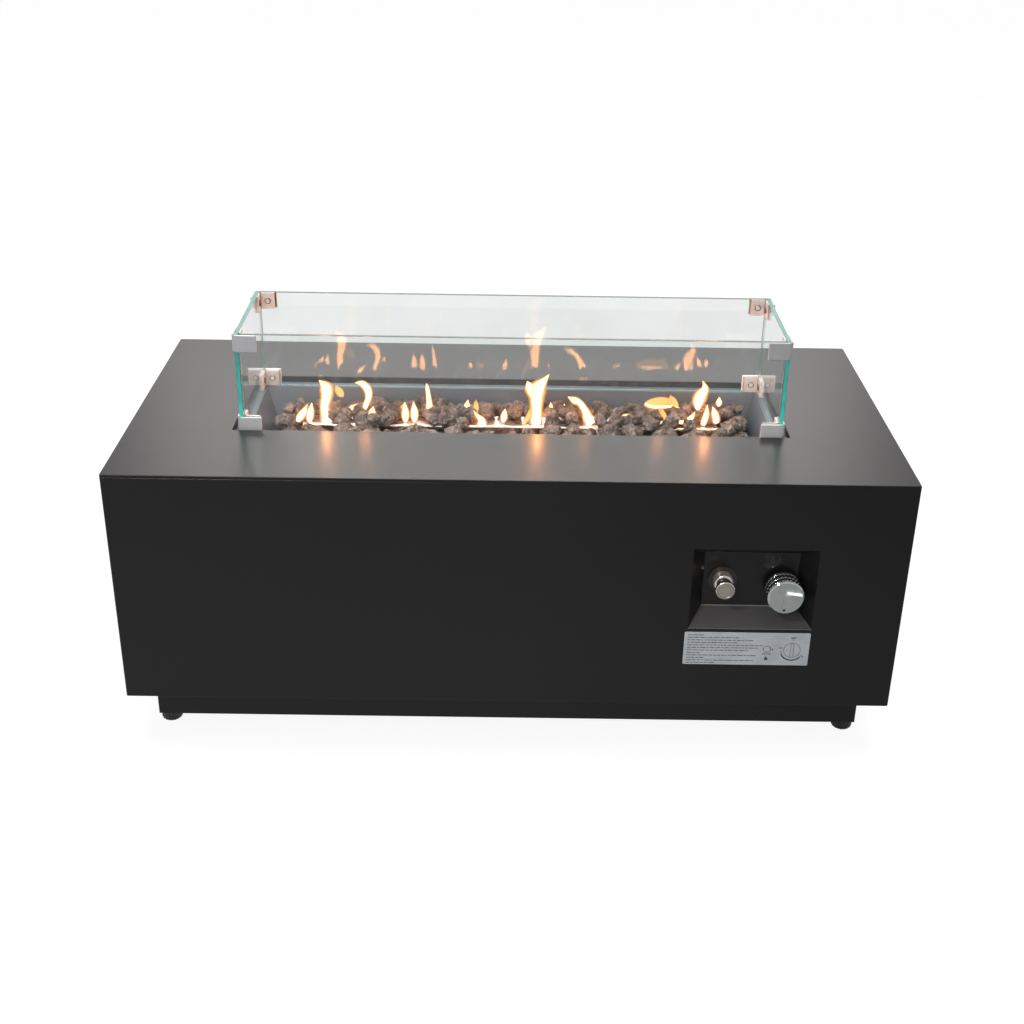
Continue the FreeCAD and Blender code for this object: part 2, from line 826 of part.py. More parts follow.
def feet():
    """Four moulded feet with ribbed rims, each on a threaded stud."""
    radius = value("foot_radius")
    shoulder = value("foot_shoulder")
    levels = [(0, value("foot_tread_radius")), (shoulder, radius)]
    levels += [(value("foot_top") - shoulder, radius), (value("foot_top"), value("foot_tread_radius"))]
    rings = []
    for height, reach in levels:
        middle = Vector(-value("foot_x"), -value("foot_y"), height)
        rings.append(ring(middle, Vector(1, 0, 0), Vector(0, 1, 0), reach, 2 * int(value("foot_ribs")),
                          value("foot_rib_depth")))
    tread = feature_of("foot_tread", Part.makeLoft(rings, True, True))
    stud = peg("foot_stud", ("-foot_x", "-foot_y", "foot_top"), "stud_radius", "stud_length", UPRIGHT, 12)
    foot = fuse("foot_front_left", tread, stud)
    across = Vector(1, 0, 0)
    deep = Vector(0, 1, 0)
    front_right = mirrored("foot_front_right", foot, across)
    back_left = mirrored("foot_back_left", foot, deep)
    back_right = mirrored("foot_back_right", foot, across, deep)
    return foot, front_right, back_left, back_right


# Fire bowl and burner

def fire_rail(label, side):
    """A square tube between the side panels, under the bowl's ledge."""
    near_edge = f"{side} * opening_half_depth"
    far_edge = f"{side} * (opening_half_depth + rail_size)"
    low_y, high_y = (far_edge, near_edge) if side < 0 else (near_edge, far_edge)
    end = "half_width - sheet_steel"
    outer = block(label + "_outer", (f"-({end})", low_y, "rail_top - rail_size"), (end, high_y, "rail_top"))
    inner = block(label + "_bore", (f"-({end})", f"{low_y} + rail_wall", "rail_top - rail_size + rail_wall"),
                  (end, f"{high_y} - rail_wall", "rail_top - rail_wall"))
    return cut(label, outer, inner)


def fire_bowl():
    """A pan with a level ledge and walls that lean in, folded from one sheet."""
    body = new_body("fire_bowl")
    rim = centred("bowl_half_length + bowl_steel", "bowl_half_depth + bowl_steel")
    base = centred("floor_half_length + bowl_steel", "floor_half_depth + bowl_steel")
    loft(body, "PartDesign::AdditiveLoft", "XY_Plane", ("bowl_underside", base), ("ledge_top", rim))
    ledge = centred("opening_half_length + ledge_spread", "opening_half_depth + ledge_spread")
    pad(body, "XY_Plane", "rail_top", "bowl_steel", ledge)
    mouth = centred("bowl_half_length", "bowl_half_depth")
    floor = centred("floor_half_length", "floor_half_depth")
    loft(body, "PartDesign::SubtractiveLoft", "XY_Plane", ("bowl_floor", floor), ("ledge_top", mouth))
    drains = [("-drain_spacing / 2", "0"), ("drain_spacing / 2", "0")]
    hole_pocket(body, "XY_Plane", "bowl_floor", drains, "drain_radius", "bowl_steel")
    hole_pocket(body, "XY_Plane", "bowl_floor", [("0", "0")], "stub_radius + part_clearance", "bowl_steel")
    electrode = ("sensor_offset - sensor_spacing / 2", "sensor_y")
    probe = ("sensor_offset + sensor_spacing / 2", "sensor_y")
    sensor_hole = "electrode_radius + part_clearance"
    hole_pocket(body, "XY_Plane", "bowl_floor", [electrode, probe], sensor_hole, "bowl_steel")
    return body


def burner():
    """A folded channel closed by a bottom plate, with two rows of gas ports and an inlet stub."""
    body = new_body("burner")
    outside = centred("burner_length / 2", "burner_width / 2")
    inside = centred("burner_length / 2 - burner_wall", "burner_width / 2 - burner_wall")
    pad(body, "XY_Plane", "burner_bottom", "burner_height", outside)
    is_long_top = lambda edge: along(edge, 0) and edge.BoundBox.ZMin > value("burner_top") - 0.01
    round_edges(body, "burner_edge_radius", is_long_top)
    outline_pocket(body, "XY_Plane", "burner_bottom", inside, "burner_height - burner_edge_radius")
    pad(body, "XY_Plane", "burner_bottom", "burner_wall", outside)
    first = "-port_pitch * (port_count - 1) / 2"
    pair = empty_sketch(body, "XY_Plane", "burner_top")
    for side in (-1, 1):
        middle = f"{side} * port_row_offset"
        add_outline(pair, rectangle(f"{first} - port_length / 2", f"{middle} - port_width / 2",
                                    f"{first} + port_length / 2", f"{middle} + port_width / 2"))
    ports = pocket(body, pair, "burner_edge_radius + burner_wall")
    repeat(body, "PartDesign::LinearPattern", ports, "port_count",
           Direction=(ports.Profile[0], ["H_Axis"]), Length="port_pitch * (port_count - 1)")
    stub_bottom = "bowl_underside - stub_reach"
    stub = empty_sketch(body, "XY_Plane", stub_bottom)
    add_circle(stub, "0", "0", "stub_radius")
    add_circle(stub, "0", "0", "stub_bore_radius")
    feature = body.newObject("PartDesign::Pad", "Stub")
    feature.Profile = stub
    feature.setExpression("Length", bound(f"burner_bottom - ({stub_bottom})"))
    body.Tip = feature
    hole_pocket(body, "XY_Plane", "burner_bottom", [("0", "0")], "stub_bore_radius", "burner_wall")
    return body


def burner_supports():
    """Two small saddles that hold the burner off the bowl's floor."""
    saddles = []
    for side in (-1, 1):
        name = "burner_saddle_left" if side < 0 else "burner_saddle_right"
        body = new_body(name, (f"{side} * support_spacing / 2", "0", "0"))
        edge = "burner_width / 2"
        wall = f"{edge} - support_steel"
        level = "bowl_floor + support_steel"
        section = [(f"-{edge}", "bowl_floor"), (edge, "bowl_floor"), (edge, "burner_bottom")]
        section += [(wall, "burner_bottom"), (wall, level), (f"-({wall})", level)]
        section += [(f"-({wall})", "burner_bottom"), (f"-{edge}", "burner_bottom")]
        pad(body, "YZ_Plane", "-support_length / 2", "support_length", section)
        saddles.append(body)
    return group("burner_supports", *saddles)


def air_mixer():
    """A turned tube with air windows, pushed up over the burner's stub."""
    wall = "mixer_radius - stub_radius - running_clearance"
    bore = "stub_radius + running_clearance"
    profile = [("orifice_radius", "mixer_bottom"), ("mixer_radius", "mixer_bottom")]
    profile += [("mixer_radius", "bowl_underside"), (bore, "bowl_underside")]
    profile += [(bore, "mixer_bottom + mixer_collar"), ("orifice_radius", "mixer_bottom + mixer_collar")]
    body = turned("air_mixer", ("0", "0", "0"), profile)
    low = "mixer_bottom + mixer_collar"
    window = rectangle("-window_width / 2", low, "window_width / 2", f"{low} + window_height")
    feature = outline_pocket(body, "XZ_Plane", "0", window, f"mixer_radius + {wall}")
    turn_about = (body.Group[0], ["V_Axis"])
    repeat(body, "PartDesign::PolarPattern", feature, "window_count", Axis=turn_about, Angle="360")
    return body


def orifice():
    """A brass jet screwed up into the mixer."""
    profile = [("jet_radius", "mixer_bottom"), ("orifice_radius", "mixer_bottom")]
    profile += [("orifice_radius", "mixer_bottom + orifice_length - orifice_head - edge_bevel")]
    profile += [("jet_radius + edge_bevel", "mixer_bottom + orifice_length - orifice_head")]
    profile += [("jet_radius", "mixer_bottom + orifice_length - orifice_head")]
    nose = turned("orifice_nose", ("0", "0", "0"), profile)
    start = ("0", "0", "orifice_bottom")
    head = hexagon("orifice_hexagon", start, "orifice_flats", "orifice_head", "jet_radius")
    return fuse("orifice", nose, head)


# Lava rocks

def rock(middle, reach, number):
    """A stone cut from a block by two turned blocks, resting on the bowl's floor."""
    stone = Part.makeBox(reach.x, reach.y, reach.z, middle - Vector(reach.x / 2, reach.y / 2, 0))
    centre = middle + Vector(0, 0, reach.z / 2)
    golden = 0.618034 * (number + 1)
    spin = 90 * (golden % 1)
    tilt = 25 + 30 * (7 * golden % 1)
    for axis, angle, share in ((Vector(0, 0, 1), 20 + spin, 1.02), (Vector(1, 0.4, spin / 90), tilt, 1.04),
                               (Vector(-0.3, 1, 0.2), tilt + spin / 2, 1.08)):
        size = max(reach.x, reach.y) * share
        cutter = Part.makeBox(size, size, reach.z * share)
        cutter.translate(centre - Vector(size / 2, size / 2, reach.z * share / 2))
        cutter.rotate(centre, axis, angle)
        stone = stone.common(cutter)
    solid = stone.Solids[0]
    solid.translate(Vector(0, 0, middle.z - solid.BoundBox.ZMin))
    return solid


def lava_rocks(label, side):
    """One row of stones beside the burner; side is -1 for the front row and 1 for the back."""
    near_edge = value("burner_width") / 2 + value("rock_side_gap")
    far_edge = value("floor_half_depth") - value("rock_side_gap")
    row_length = 2 * (value("floor_half_length") - value("rock_side_gap"))
    count = int(value("rock_count"))
    pitch = row_length / count
    stones = []
    for number in range(count):
        x = (number - (count - 1) / 2) * pitch
        y = side * (near_edge + far_edge) / 2
        share = 0.86 + 0.14 * (0.618034 * (3 * number + side + 2) % 1)
        reach = Vector(pitch - value("rock_gap"), far_edge - near_edge, value("rock_height") * share)
        sensor_reach = (pitch + value("sensor_plate_length")) / 2
        crowds_sensor = side < 0 and abs(x - value("sensor_offset")) < sensor_reach
        if crowds_sensor:
            reach.y -= value("sensor_plate_width") + value("rock_side_gap")
            y = side * (far_edge - reach.y / 2)
        stones.append(rock(Vector(x, y, value("bowl_floor")), reach, number + 20 * (side + 1)))
    return feature_of(label, Part.makeCompound(stones))


# Spark electrode and thermocouple

def sensor_bracket():
    """A small plate on the bowl's floor that holds the electrode and the thermocouple."""
    body = new_body("sensor_bracket")
    half = "sensor_plate_length / 2"
    corners = rectangle(f"sensor_offset - {half}", "-burner_width / 2 - sensor_plate_width",
                        f"sensor_offset + {half}", "-burner_width / 2")
    pad(body, "XY_Plane", "bowl_floor", "support_steel", corners)
    hole_pocket(body, "XY_Plane", "bowl_floor", [("sensor_offset - sensor_spacing / 2", "sensor_y")],
                "electrode_radius", "support_steel")
    hole_pocket(body, "XY_Plane", "bowl_floor", [("sensor_offset + sensor_spacing / 2", "sensor_y")],
                "probe_radius", "support_steel")
    return body


def spark_electrode():
    """A ceramic sleeve with a wire that bends over the burner's edge."""
    x = "sensor_offset - sensor_spacing / 2"
    place = (x, "sensor_y", "bowl_underside")
    profile = [("0", "0"), ("electrode_radius", "0"), ("electrode_radius", "electrode_length - edge_bevel")]
    profile += [("electrode_radius - edge_bevel", "electrode_length"), ("0", "electrode_length")]
    sleeve = turned("electrode_sleeve", place, profile)
    foot = Vector(value("sensor_offset") - value("sensor_spacing") / 2, value("sensor_y"),
                  value("bowl_underside") + value("electrode_length"))
    reach = value("electrode_wire_reach")
    points = [foot, foot + Vector(0, 0, reach), foot + Vector(0, reach, reach)]
    radius = value("electrode_wire_radius")
    wire = feature_of("electrode_wire", bent_bar(points, 3 * radius, radius))
    return fuse("spark_electrode", sleeve, wire)


def thermocouple():
    """A closed probe beside the electrode."""
    place = ("sensor_offset + sensor_spacing / 2", "sensor_y", "bowl_underside")
    profile = [("0", "0"), ("probe_radius", "0"), ("probe_radius", "probe_length - probe_tip_length")]
    profile += [("probe_tip_radius", "probe_length - probe_tip_length + edge_bevel")]
    profile += [("probe_tip_radius", "probe_length - edge_bevel"), ("0", "probe_length")]
    return turned("thermocouple", place, profile)


# Control niche and its plate

def control_niche():
    """A recess with sloping sides, folded from sheet and fixed behind the front panel's window."""
    body = new_body("control_niche")
    left = "niche_centre - niche_width / 2"
    right = "niche_centre + niche_width / 2"
    low = "niche_top - niche_height"

    def window(inset):
        return rectangle(f"{left} + {inset}", f"{low} + {inset}",
                         f"{right} - ({inset})", f"niche_top - ({inset})")

    flange = window("-niche_flange")
    outer_mouth = window("-sheet_steel")
    outer_floor = window("niche_inset - sheet_steel")
    mouth = window("0")
    floor = window("niche_inset")
    loft(body, "PartDesign::AdditiveLoft", "XZ_Plane",
         ("-panel_back", outer_mouth), ("-niche_rear", outer_floor))
    pad(body, "XZ_Plane", "-panel_back - sheet_steel", "sheet_steel", flange)
    loft(body, "PartDesign::SubtractiveLoft", "XZ_Plane",
         ("-panel_back", mouth), ("-niche_floor", floor))
    hole_pocket(body, "XZ_Plane", "-niche_floor", [("knob_x", "knob_z")],
                "neck_radius + running_clearance", "sheet_steel")
    hole_pocket(body, "XZ_Plane", "-niche_floor", [("igniter_x", "igniter_z")],
                "igniter_body_radius + running_clearance", "sheet_steel")
    return body


def instruction_plate():
    """A thin plate bonded under the niche."""
    body = new_body("instruction_plate")
    left = "niche_centre - plate_width / 2 - plate_shift"
    corners = rectangle(left, "plate_top - plate_height", f"{left} + plate_width", "plate_top")
    pad(body, "XZ_Plane", "half_depth", "plate_thickness", corners)
    round_edges(body, "plate_corner_radius", lambda edge: along(edge, 1))
    return body


# Gas valve and knob

def round_boss(body, plane, offset, length, radius, y="0"):
    """A round boss padded from a plane of the body."""
    sketch = empty_sketch(body, plane, offset)
    add_circle(sketch, "0", y, radius)
    boss = body.newObject("PartDesign::Pad", "Boss")
    boss.Profile = sketch
    boss.setExpression("Length", bound(length))
    body.Tip = boss


def valve_body():
    """A cast block with a neck through the niche, an outlet behind and an inlet below."""
    body = new_body("valve_body", ("knob_x", "0", "knob_z"))
    casting = centred("valve_width / 2", "valve_height / 2")
    pad(body, "XZ_Plane", "-valve_rear", "valve_length", casting)
    round_edges(body, "valve_edge", lambda edge: along(edge, 1))
    round_boss(body, "XZ_Plane", "-niche_rear", "niche_rear - neck_front", "neck_radius")
    round_boss(body, "XZ_Plane", "-valve_rear - port_boss_length", "port_boss_length", "port_boss_radius")
    inlet_bottom = "-valve_height / 2 - port_boss_length"
    round_boss(body, "XY_Plane", inlet_bottom, "port_boss_length", "port_boss_radius", "valve_middle")
    hole_pocket(body, "XZ_Plane", "-neck_front", [("0", "0")], "spindle_radius + running_clearance",
                "spindle_rear - neck_front + knob_travel + part_clearance")
    return body


def valve_nut():
    """A thin nut that clamps the valve to the niche from the front."""
    start = ("knob_x", "niche_floor", "knob_z")
    return hexagon("valve_nut", start, "valve_nut_flats", "valve_nut_height", "neck_radius", TOWARDS_FRONT)


def valve_bezel():
    """A dark ring behind the knob that hides the nut."""
    profile = [("bezel_bore_radius", "0"), ("bezel_radius", "0")]
    profile += [("bezel_radius", "-bezel_thickness + edge_bevel")]
    profile += [("bezel_radius - edge_bevel", "-bezel_thickness"), ("bezel_bore_radius", "-bezel_thickness")]
    return turned("valve_bezel", ("knob_x", "niche_floor", "knob_z"), profile, "XY_Plane")


def valve_spindle():
    """A round bar with a flat where the knob grips it."""
    bar = rod("spindle_bar", ("knob_x", "spindle_front", "knob_z"), "spindle_radius",
              "spindle_rear - spindle_front", ALONG_Y)
    low = ("knob_x - spindle_radius", "spindle_front", "knob_z + spindle_radius - spindle_flat")
    high = ("knob_x + spindle_radius", "hub_rear", "knob_z + spindle_radius")
    return cut("valve_spindle", bar, block("spindle_flat_block", low, high))


def knob(spindle):
    """A hollow plated knob with a fluted grip, a hub on the spindle and a pointer groove."""
    face = "-knob_length"
    profile = [("0", face), ("knob_radius - knob_face_bevel", face)]
    profile += [("knob_radius", f"{face} + knob_face_bevel")]
    profile += [("knob_radius", f"{face} + knob_band"), ("grip_radius", f"{face} + knob_band")]
    profile += [("grip_radius", "-skirt_height - flute_length")]
    profile += [("grip_radius - flute_depth", "-skirt_height - flute_length")]
    profile += [("grip_radius - flute_depth", "-skirt_height"), ("skirt_radius", "-skirt_height")]
    profile += [("skirt_radius", "0"), ("grip_radius - knob_wall", "0")]
    profile += [("grip_radius - knob_wall", f"{face} + knob_wall"), ("hub_radius", f"{face} + knob_wall")]
    profile += [("hub_radius", "-hub_recess"), ("0", "-hub_recess")]
    body = turned("knob_shell", ("knob_x", "knob_rear", "knob_z"), profile, "XY_Plane")
    pointer = rectangle("-pointer_width / 2", "-knob_radius + pointer_margin", "pointer_width / 2", "0")
    outline_pocket(body, "XZ_Plane", "knob_length", pointer, "pointer_depth")
    start = Vector(value("knob_x"), value("knob_rear") - value("skirt_height") - value("flute_length"),
                   value("knob_z"))
    outline = ring(start, Vector(1, 0, 0), Vector(0, 0, 1), value("grip_radius"),
                   2 * int(value("flute_count")), value("flute_depth"))
    flutes = feature_of("knob_flutes", Part.Face(outline).extrude(Vector(0, value("flute_length"), 0)))
    bore = rod("knob_flute_bore", ("knob_x", "knob_rear - skirt_height - flute_length", "knob_z"),
               "grip_radius - knob_wall", "flute_length", ALONG_Y)
    return cut("knob", fuse("knob_fluted", body, cut("knob_grip", flutes, bore)), spindle)


def spring_washer():
    """A plain ring that slides with the knob but doesn't turn."""
    start = ("knob_x", "washer_front", "knob_z")
    disc = rod("washer_disc", start, "spring_radius + edge_bevel", "washer_thickness", ALONG_Y)
    bore = rod("washer_bore", start, "spindle_radius + part_clearance", "washer_thickness", ALONG_Y)
    return cut("spring_washer", disc, bore)


def knob_spring():
    """The spring that pushes the knob out."""
    start = Vector(value("knob_x"), value("washer_front") + value("washer_thickness"), value("knob_z"))
    length = value("neck_front") - start.y
    return coil_spring("knob_spring", start, length, value("spring_radius"),
                       value("spring_wire_radius"), int(value("spring_turns")))


# Igniter

def igniter_at(y):
    return ("igniter_x", y, "igniter_z")


def igniter_body():
    """A moulded tube through the niche, open in front and closed round a terminal behind."""
    front = "collar_front + collar_shoulder"
    profile = [("igniter_bore_radius", front), ("igniter_body_radius", front)]
    profile += [("igniter_body_radius", "igniter_rear"), ("terminal_radius", "igniter_rear")]
    profile += [("terminal_radius", "igniter_rear + terminal_length")]
    profile += [("0", "igniter_rear + terminal_length")]
    profile += [("0", "igniter_rear - igniter_wall"), ("igniter_bore_radius", "igniter_rear - igniter_wall")]
    return turned("igniter_body", igniter_at("0"), profile, "XY_Plane")


def igniter_collar():
    """A plated collar screwed over the igniter's tube."""
    bore = "neck_bore_radius"
    profile = [(bore, "collar_front"), ("collar_radius - collar_lip", "collar_front")]
    profile += [("collar_radius - collar_lip / 3", "collar_front + collar_crown")]
    profile += [("collar_radius", "collar_front + collar_bulge"), ("collar_radius", "flange_front")]
    profile += [("igniter_body_radius", "flange_front")]
    profile += [("igniter_body_radius", "collar_front + collar_shoulder")]
    profile += [(bore, "collar_front + collar_shoulder")]
    return turned("igniter_collar", igniter_at("0"), profile, "XY_Plane")


def igniter_washer():
    """A flat washer between the collar and the niche."""
    start = igniter_at("flange_front")
    disc = rod("igniter_washer_disc", start, "flange_radius", "flange_thickness", ALONG_Y)
    bore = rod("igniter_washer_bore", start, "igniter_body_radius", "flange_thickness", ALONG_Y)
    return cut("igniter_washer", disc, bore)


def igniter_nut():
    """A nut that clamps the igniter from behind."""
    return hexagon("igniter_nut", igniter_at("niche_rear"), "igniter_nut_flats", "igniter_nut_height",
                   "igniter_body_radius", ALONG_Y)


def igniter_button():
    """A plated cap with a shallow dish in its face."""
    profile = [("0", "button_face + button_dish")]
    profile += [("button_radius - button_rim", "button_face + button_dish")]
    profile += [("button_radius - button_rim + button_dish", "button_face")]
    profile += [("button_radius - edge_bevel", "button_face"), ("button_radius", "button_face + edge_bevel")]
    profile += [("button_radius", "button_rear"), ("0", "button_rear")]
    return turned("igniter_button", igniter_at("0"), profile, "XY_Plane")


def igniter_plunger():
    """The button's moulded stem."""
    profile = [("0", "button_rear"), ("plunger_radius", "button_rear"), ("plunger_radius", "plunger_rear")]
    profile += [("0", "plunger_rear")]
    return turned("igniter_plunger", igniter_at("0"), profile, "XY_Plane")


def igniter_spring():
    """The spring between the button's stem and the battery."""
    start = Vector(value("igniter_x"), value("plunger_rear"), value("igniter_z"))
    length = value("battery_front") - start.y
    return coil_spring("igniter_spring", start, length, value("spring_radius"),
                       value("spring_wire_radius"), int(value("spring_turns")) + 1)


def igniter_battery():
    """A single cell inside the igniter's tube."""
    profile = [("0", "battery_front"), ("battery_tip_radius", "battery_front")]
    profile += [("battery_tip_radius", "battery_front + battery_tip_length")]
    profile += [("battery_radius", "battery_front + battery_tip_length")]
    profile += [("battery_radius", "igniter_rear - igniter_wall"), ("0", "igniter_rear - igniter_wall")]
    return turned("igniter_battery", igniter_at("0"), profile, "XY_Plane")


# Gas tubes

def gas_tube():
    """The feed from the valve's outlet, along the middle and up to the orifice."""
    valve_end = Vector(value("knob_x"), value("valve_rear") + value("port_boss_length"), value("knob_z"))
    points = [valve_end, Vector(valve_end.x, 0, valve_end.z), Vector(0, 0, valve_end.z)]
    points.append(Vector(0, 0, value("orifice_bottom")))
    return hollow_tube("gas_tube", points)


def inlet_tube():
    """The feed from the inlet in the back panel up to the valve."""
    valve_end = Vector(value("knob_x"), value("valve_middle"), value("knob_z"))
    valve_end.z -= value("valve_height") / 2 + value("port_boss_length")
    corner = Vector(valve_end.x, valve_end.y, value("inlet_z"))
    return hollow_tube("inlet_tube", [valve_end, corner, Vector(corner.x, value("inlet_inner"), corner.z)])


def hollow_tube(label, points):
    radius = value("gas_tube_radius")
    outside = bent_bar(points, value("gas_tube_bend"), radius, 12)
    inside = bent_bar(points, value("gas_tube_bend"), radius - value("gas_tube_wall"), 12)
    return feature_of(label, outside.cut(inside))


def tube_nuts():
    """The flare nuts at the four ends of the gas tubes."""
    length = "tube_nut_length"
    ends = [("valve_outlet", ("knob_x", "valve_rear + port_boss_length", "knob_z"), ALONG_Y)]
    ends += [("orifice", ("0", "0", f"orifice_bottom - {length}"), UPRIGHT)]
    low = f"knob_z - valve_height / 2 - port_boss_length - {length}"
    ends += [("valve_inlet", ("knob_x", "valve_middle", low), UPRIGHT)]
    ends += [("gas_inlet", ("knob_x", f"inlet_inner - {length}", "inlet_z"), ALONG_Y)]
    nuts = [hexagon(f"tube_nut_at_{name}", start, "tube_nut_flats", length, "gas_tube_radius", turn)
            for name, start, turn in ends]
    return group("tube_nuts", *nuts)


def gas_inlet():
    """A fitting through the back panel, tapped outside for the supply hose."""
    bore = "gas_tube_radius - gas_tube_wall"
    profile = [(bore, "inlet_inner"), ("inlet_shank_radius", "inlet_inner")]
    profile += [("inlet_shank_radius", "inlet_face")]
    profile += [("inlet_bore_radius", "inlet_face"), ("inlet_bore_radius", "inlet_face - inlet_bore_length")]
    profile += [(bore, "inlet_face - inlet_bore_length")]
    shank = turned("inlet_shank", ("knob_x", "0", "inlet_z"), profile, "XY_Plane")
    collar = hexagon("inlet_hexagon", ("knob_x", "half_depth", "inlet_z"), "inlet_flats",
                     "inlet_proud", "inlet_shank_radius", ALONG_Y)
    return fuse("gas_inlet", shank, collar)


def inlet_nut():
    """A nut that clamps the fitting to the back panel from inside."""
    start = ("knob_x", "half_depth - sheet_steel - inlet_nut_height", "inlet_z")
    return hexagon("inlet_nut", start, "inlet_flats + 4", "inlet_nut_height", "inlet_shank_radius", ALONG_Y)


def spark_lead():
    """An insulated wire from the igniter to the electrode."""
    height = value("igniter_z")
    start = Vector(value("igniter_x"), value("igniter_rear") + value("terminal_length"), height)
    x = value("sensor_offset") - value("sensor_spacing") / 2
    points = [start, Vector(start.x, value("sensor_y"), height), Vector(x, value("sensor_y"), height)]
    points.append(Vector(x, value("sensor_y"), value("bowl_underside")))
    return feature_of("spark_lead", bent_bar(points, value("lead_bend"), value("lead_radius")))


def thermocouple_lead():
    """A capillary from the thermocouple to the top of the valve."""
    start = Vector(value("knob_x"), value("valve_middle"), value("knob_z") + value("valve_height") / 2)
    level = value("capillary_z")
    x = value("sensor_offset") + value("sensor_spacing") / 2
    points = [start, Vector(start.x, start.y, level), Vector(x, start.y, level)]
    points += [Vector(x, value("sensor_y"), level), Vector(x, value("sensor_y"), value("bowl_underside"))]
    return feature_of("thermocouple_lead", bent_bar(points, value("lead_bend"), value("lead_radius")))


# Glass wind guard

SCREW_LEVELS = {"bottom": "guard_bottom + bracket_height / 2", "top": "guard_top - bracket_height / 2"}


def end_pane(label, side):
    """A toughened pane across one end, drilled at its corners; side is -1 for the left."""
    outer = f"{side} * glass_end"
    inner = f"{side} * (glass_end - glass_thickness)"
    low_x, high_x = (outer, inner) if side < 0 else (inner, outer)
    pane = block(label + "_sheet", (low_x, "-glass_face", "guard_bottom"),
                 (high_x, "glass_face", "guard_top"))
    holes = [peg(f"{label}_hole", (low_x, f"{deep} * (guard_half_depth - screw_reach)", level),
                 "glass_hole_radius", "glass_thickness", ALONG_X)
             for deep in (-1, 1) for level in SCREW_LEVELS.values()]
    return cut(label, pane, group(label + "_holes", *holes))


def long_pane(label, side):
    """A toughened pane along the front or back, between the end panes."""
    outer = f"{side} * glass_face"
    inner = f"{side} * (glass_face - glass_thickness)"
    low_y, high_y = (outer, inner) if side < 0 else (inner, outer)
    end = "glass_end - glass_thickness - glass_gap"
    pane = block(label + "_sheet", (f"-({end})", low_y, "guard_bottom"), (end, high_y, "guard_top"))
    holes = [peg(f"{label}_hole", (f"{across} * (guard_half_length - screw_reach)", low_y, level),
                 "glass_hole_radius", "glass_thickness", ALONG_Y)
             for across in (-1, 1) for level in SCREW_LEVELS.values()]
    return cut(label, pane, group(label + "_holes", *holes))


def guard_brackets(label, low):
    """Cast angles round the guard's corners, tapped from inside."""
    level = f"{low} + bracket_height / 2"
    body = new_body(label + "_source")
    x = "-guard_half_length"
    y = "-guard_half_depth"
    section = [(x, y), (f"{x} + bracket_leg", y), (f"{x} + bracket_leg", f"{y} + bracket_wall")]
    section += [(f"{x} + bracket_wall", f"{y} + bracket_wall"), (f"{x} + bracket_wall", f"{y} + bracket_leg")]
    section += [(x, f"{y} + bracket_leg")]
    pad(body, "XY_Plane", low, "bracket_height", section)
    is_corner = lambda edge: along(edge, 2) and near(edge.BoundBox.XMin, "guard_half_length") and near(
        edge.BoundBox.YMin, "guard_half_depth")
    round_edges(body, "bracket_radius", is_corner)
    long_bore = peg("long_bore", (f"{x} + screw_reach", "-glass_face - screw_bite", level),
                    "screw_radius", "screw_bite", ALONG_Y)
    end_bore = peg("end_bore", ("-glass_end - screw_bite", f"{y} + screw_reach", level),
                   "screw_radius", "screw_bite", ALONG_X)
    return four_corners(label, cut(label + "_tapped", body, long_bore, end_bore))


def guard_clamps():
    """Inner plates that press the glass against the angles, two at each bracket."""
    plates = []
    for name, low in (("bottom", "guard_bottom"), ("top", "guard_top - bracket_height")):
        level = SCREW_LEVELS[name]
        high = f"{low} + bracket_height"
        corner = "bracket_wall + glass_thickness + clamp_wall + clamp_gap"
        x = f"-guard_half_length + {corner}"
        y = f"-guard_half_depth + {corner}"
        pane_y = "-glass_face + glass_thickness"
        pane_x = "-glass_end + glass_thickness"
        long_plate = block("long_plate", (x, pane_y, low),
                           (f"{x} + clamp_length", f"{pane_y} + clamp_wall", high))
        long_hole = peg("long_plate_hole", ("-guard_half_length + screw_reach", pane_y, level),
                        "screw_radius + part_clearance", "clamp_wall", ALONG_Y)
        end_plate = block("end_plate", (pane_x, y, low),
                          (f"{pane_x} + clamp_wall", f"{y} + clamp_length", high))
        end_hole = peg("end_plate_hole", (pane_x, "-guard_half_depth + screw_reach", level),
                       "screw_radius + part_clearance", "clamp_wall", ALONG_X)
        plates.append(cut(f"clamp_long_{name}", long_plate, long_hole))
        plates.append(cut(f"clamp_end_{name}", end_plate, end_hole))
    return four_corners("guard_clamps", group("guard_clamp_set", *plates))


def guard_screws():
    """Pan-head screws from inside, through clamp and glass into the angles."""
    screws = []
    seat = "glass_thickness + clamp_wall"
    length = f"{seat} + screw_bite"
    for name, level in SCREW_LEVELS.items():
        x = "-guard_half_length + screw_reach"
        shank = peg("long_shank", (x, "-glass_face - screw_bite", level), "screw_radius", length, ALONG_Y)
        head = peg("long_head", (x, f"-glass_face + {seat}", level), "screw_head_radius",
                   "screw_head_height", ALONG_Y, 12)
        screws.append(fuse(f"screw_long_{name}", shank, head))
        y = "-guard_half_depth + screw_reach"
        shank = peg("end_shank", ("-glass_end - screw_bite", y, level), "screw_radius", length, ALONG_X)
        head = peg("end_head", (f"-glass_end + {seat}", y, level), "screw_head_radius",
                   "screw_head_height", ALONG_X, 12)
        screws.append(fuse(f"screw_end_{name}", shank, head))
    return four_corners("guard_screws", group("guard_screw_set", *screws))


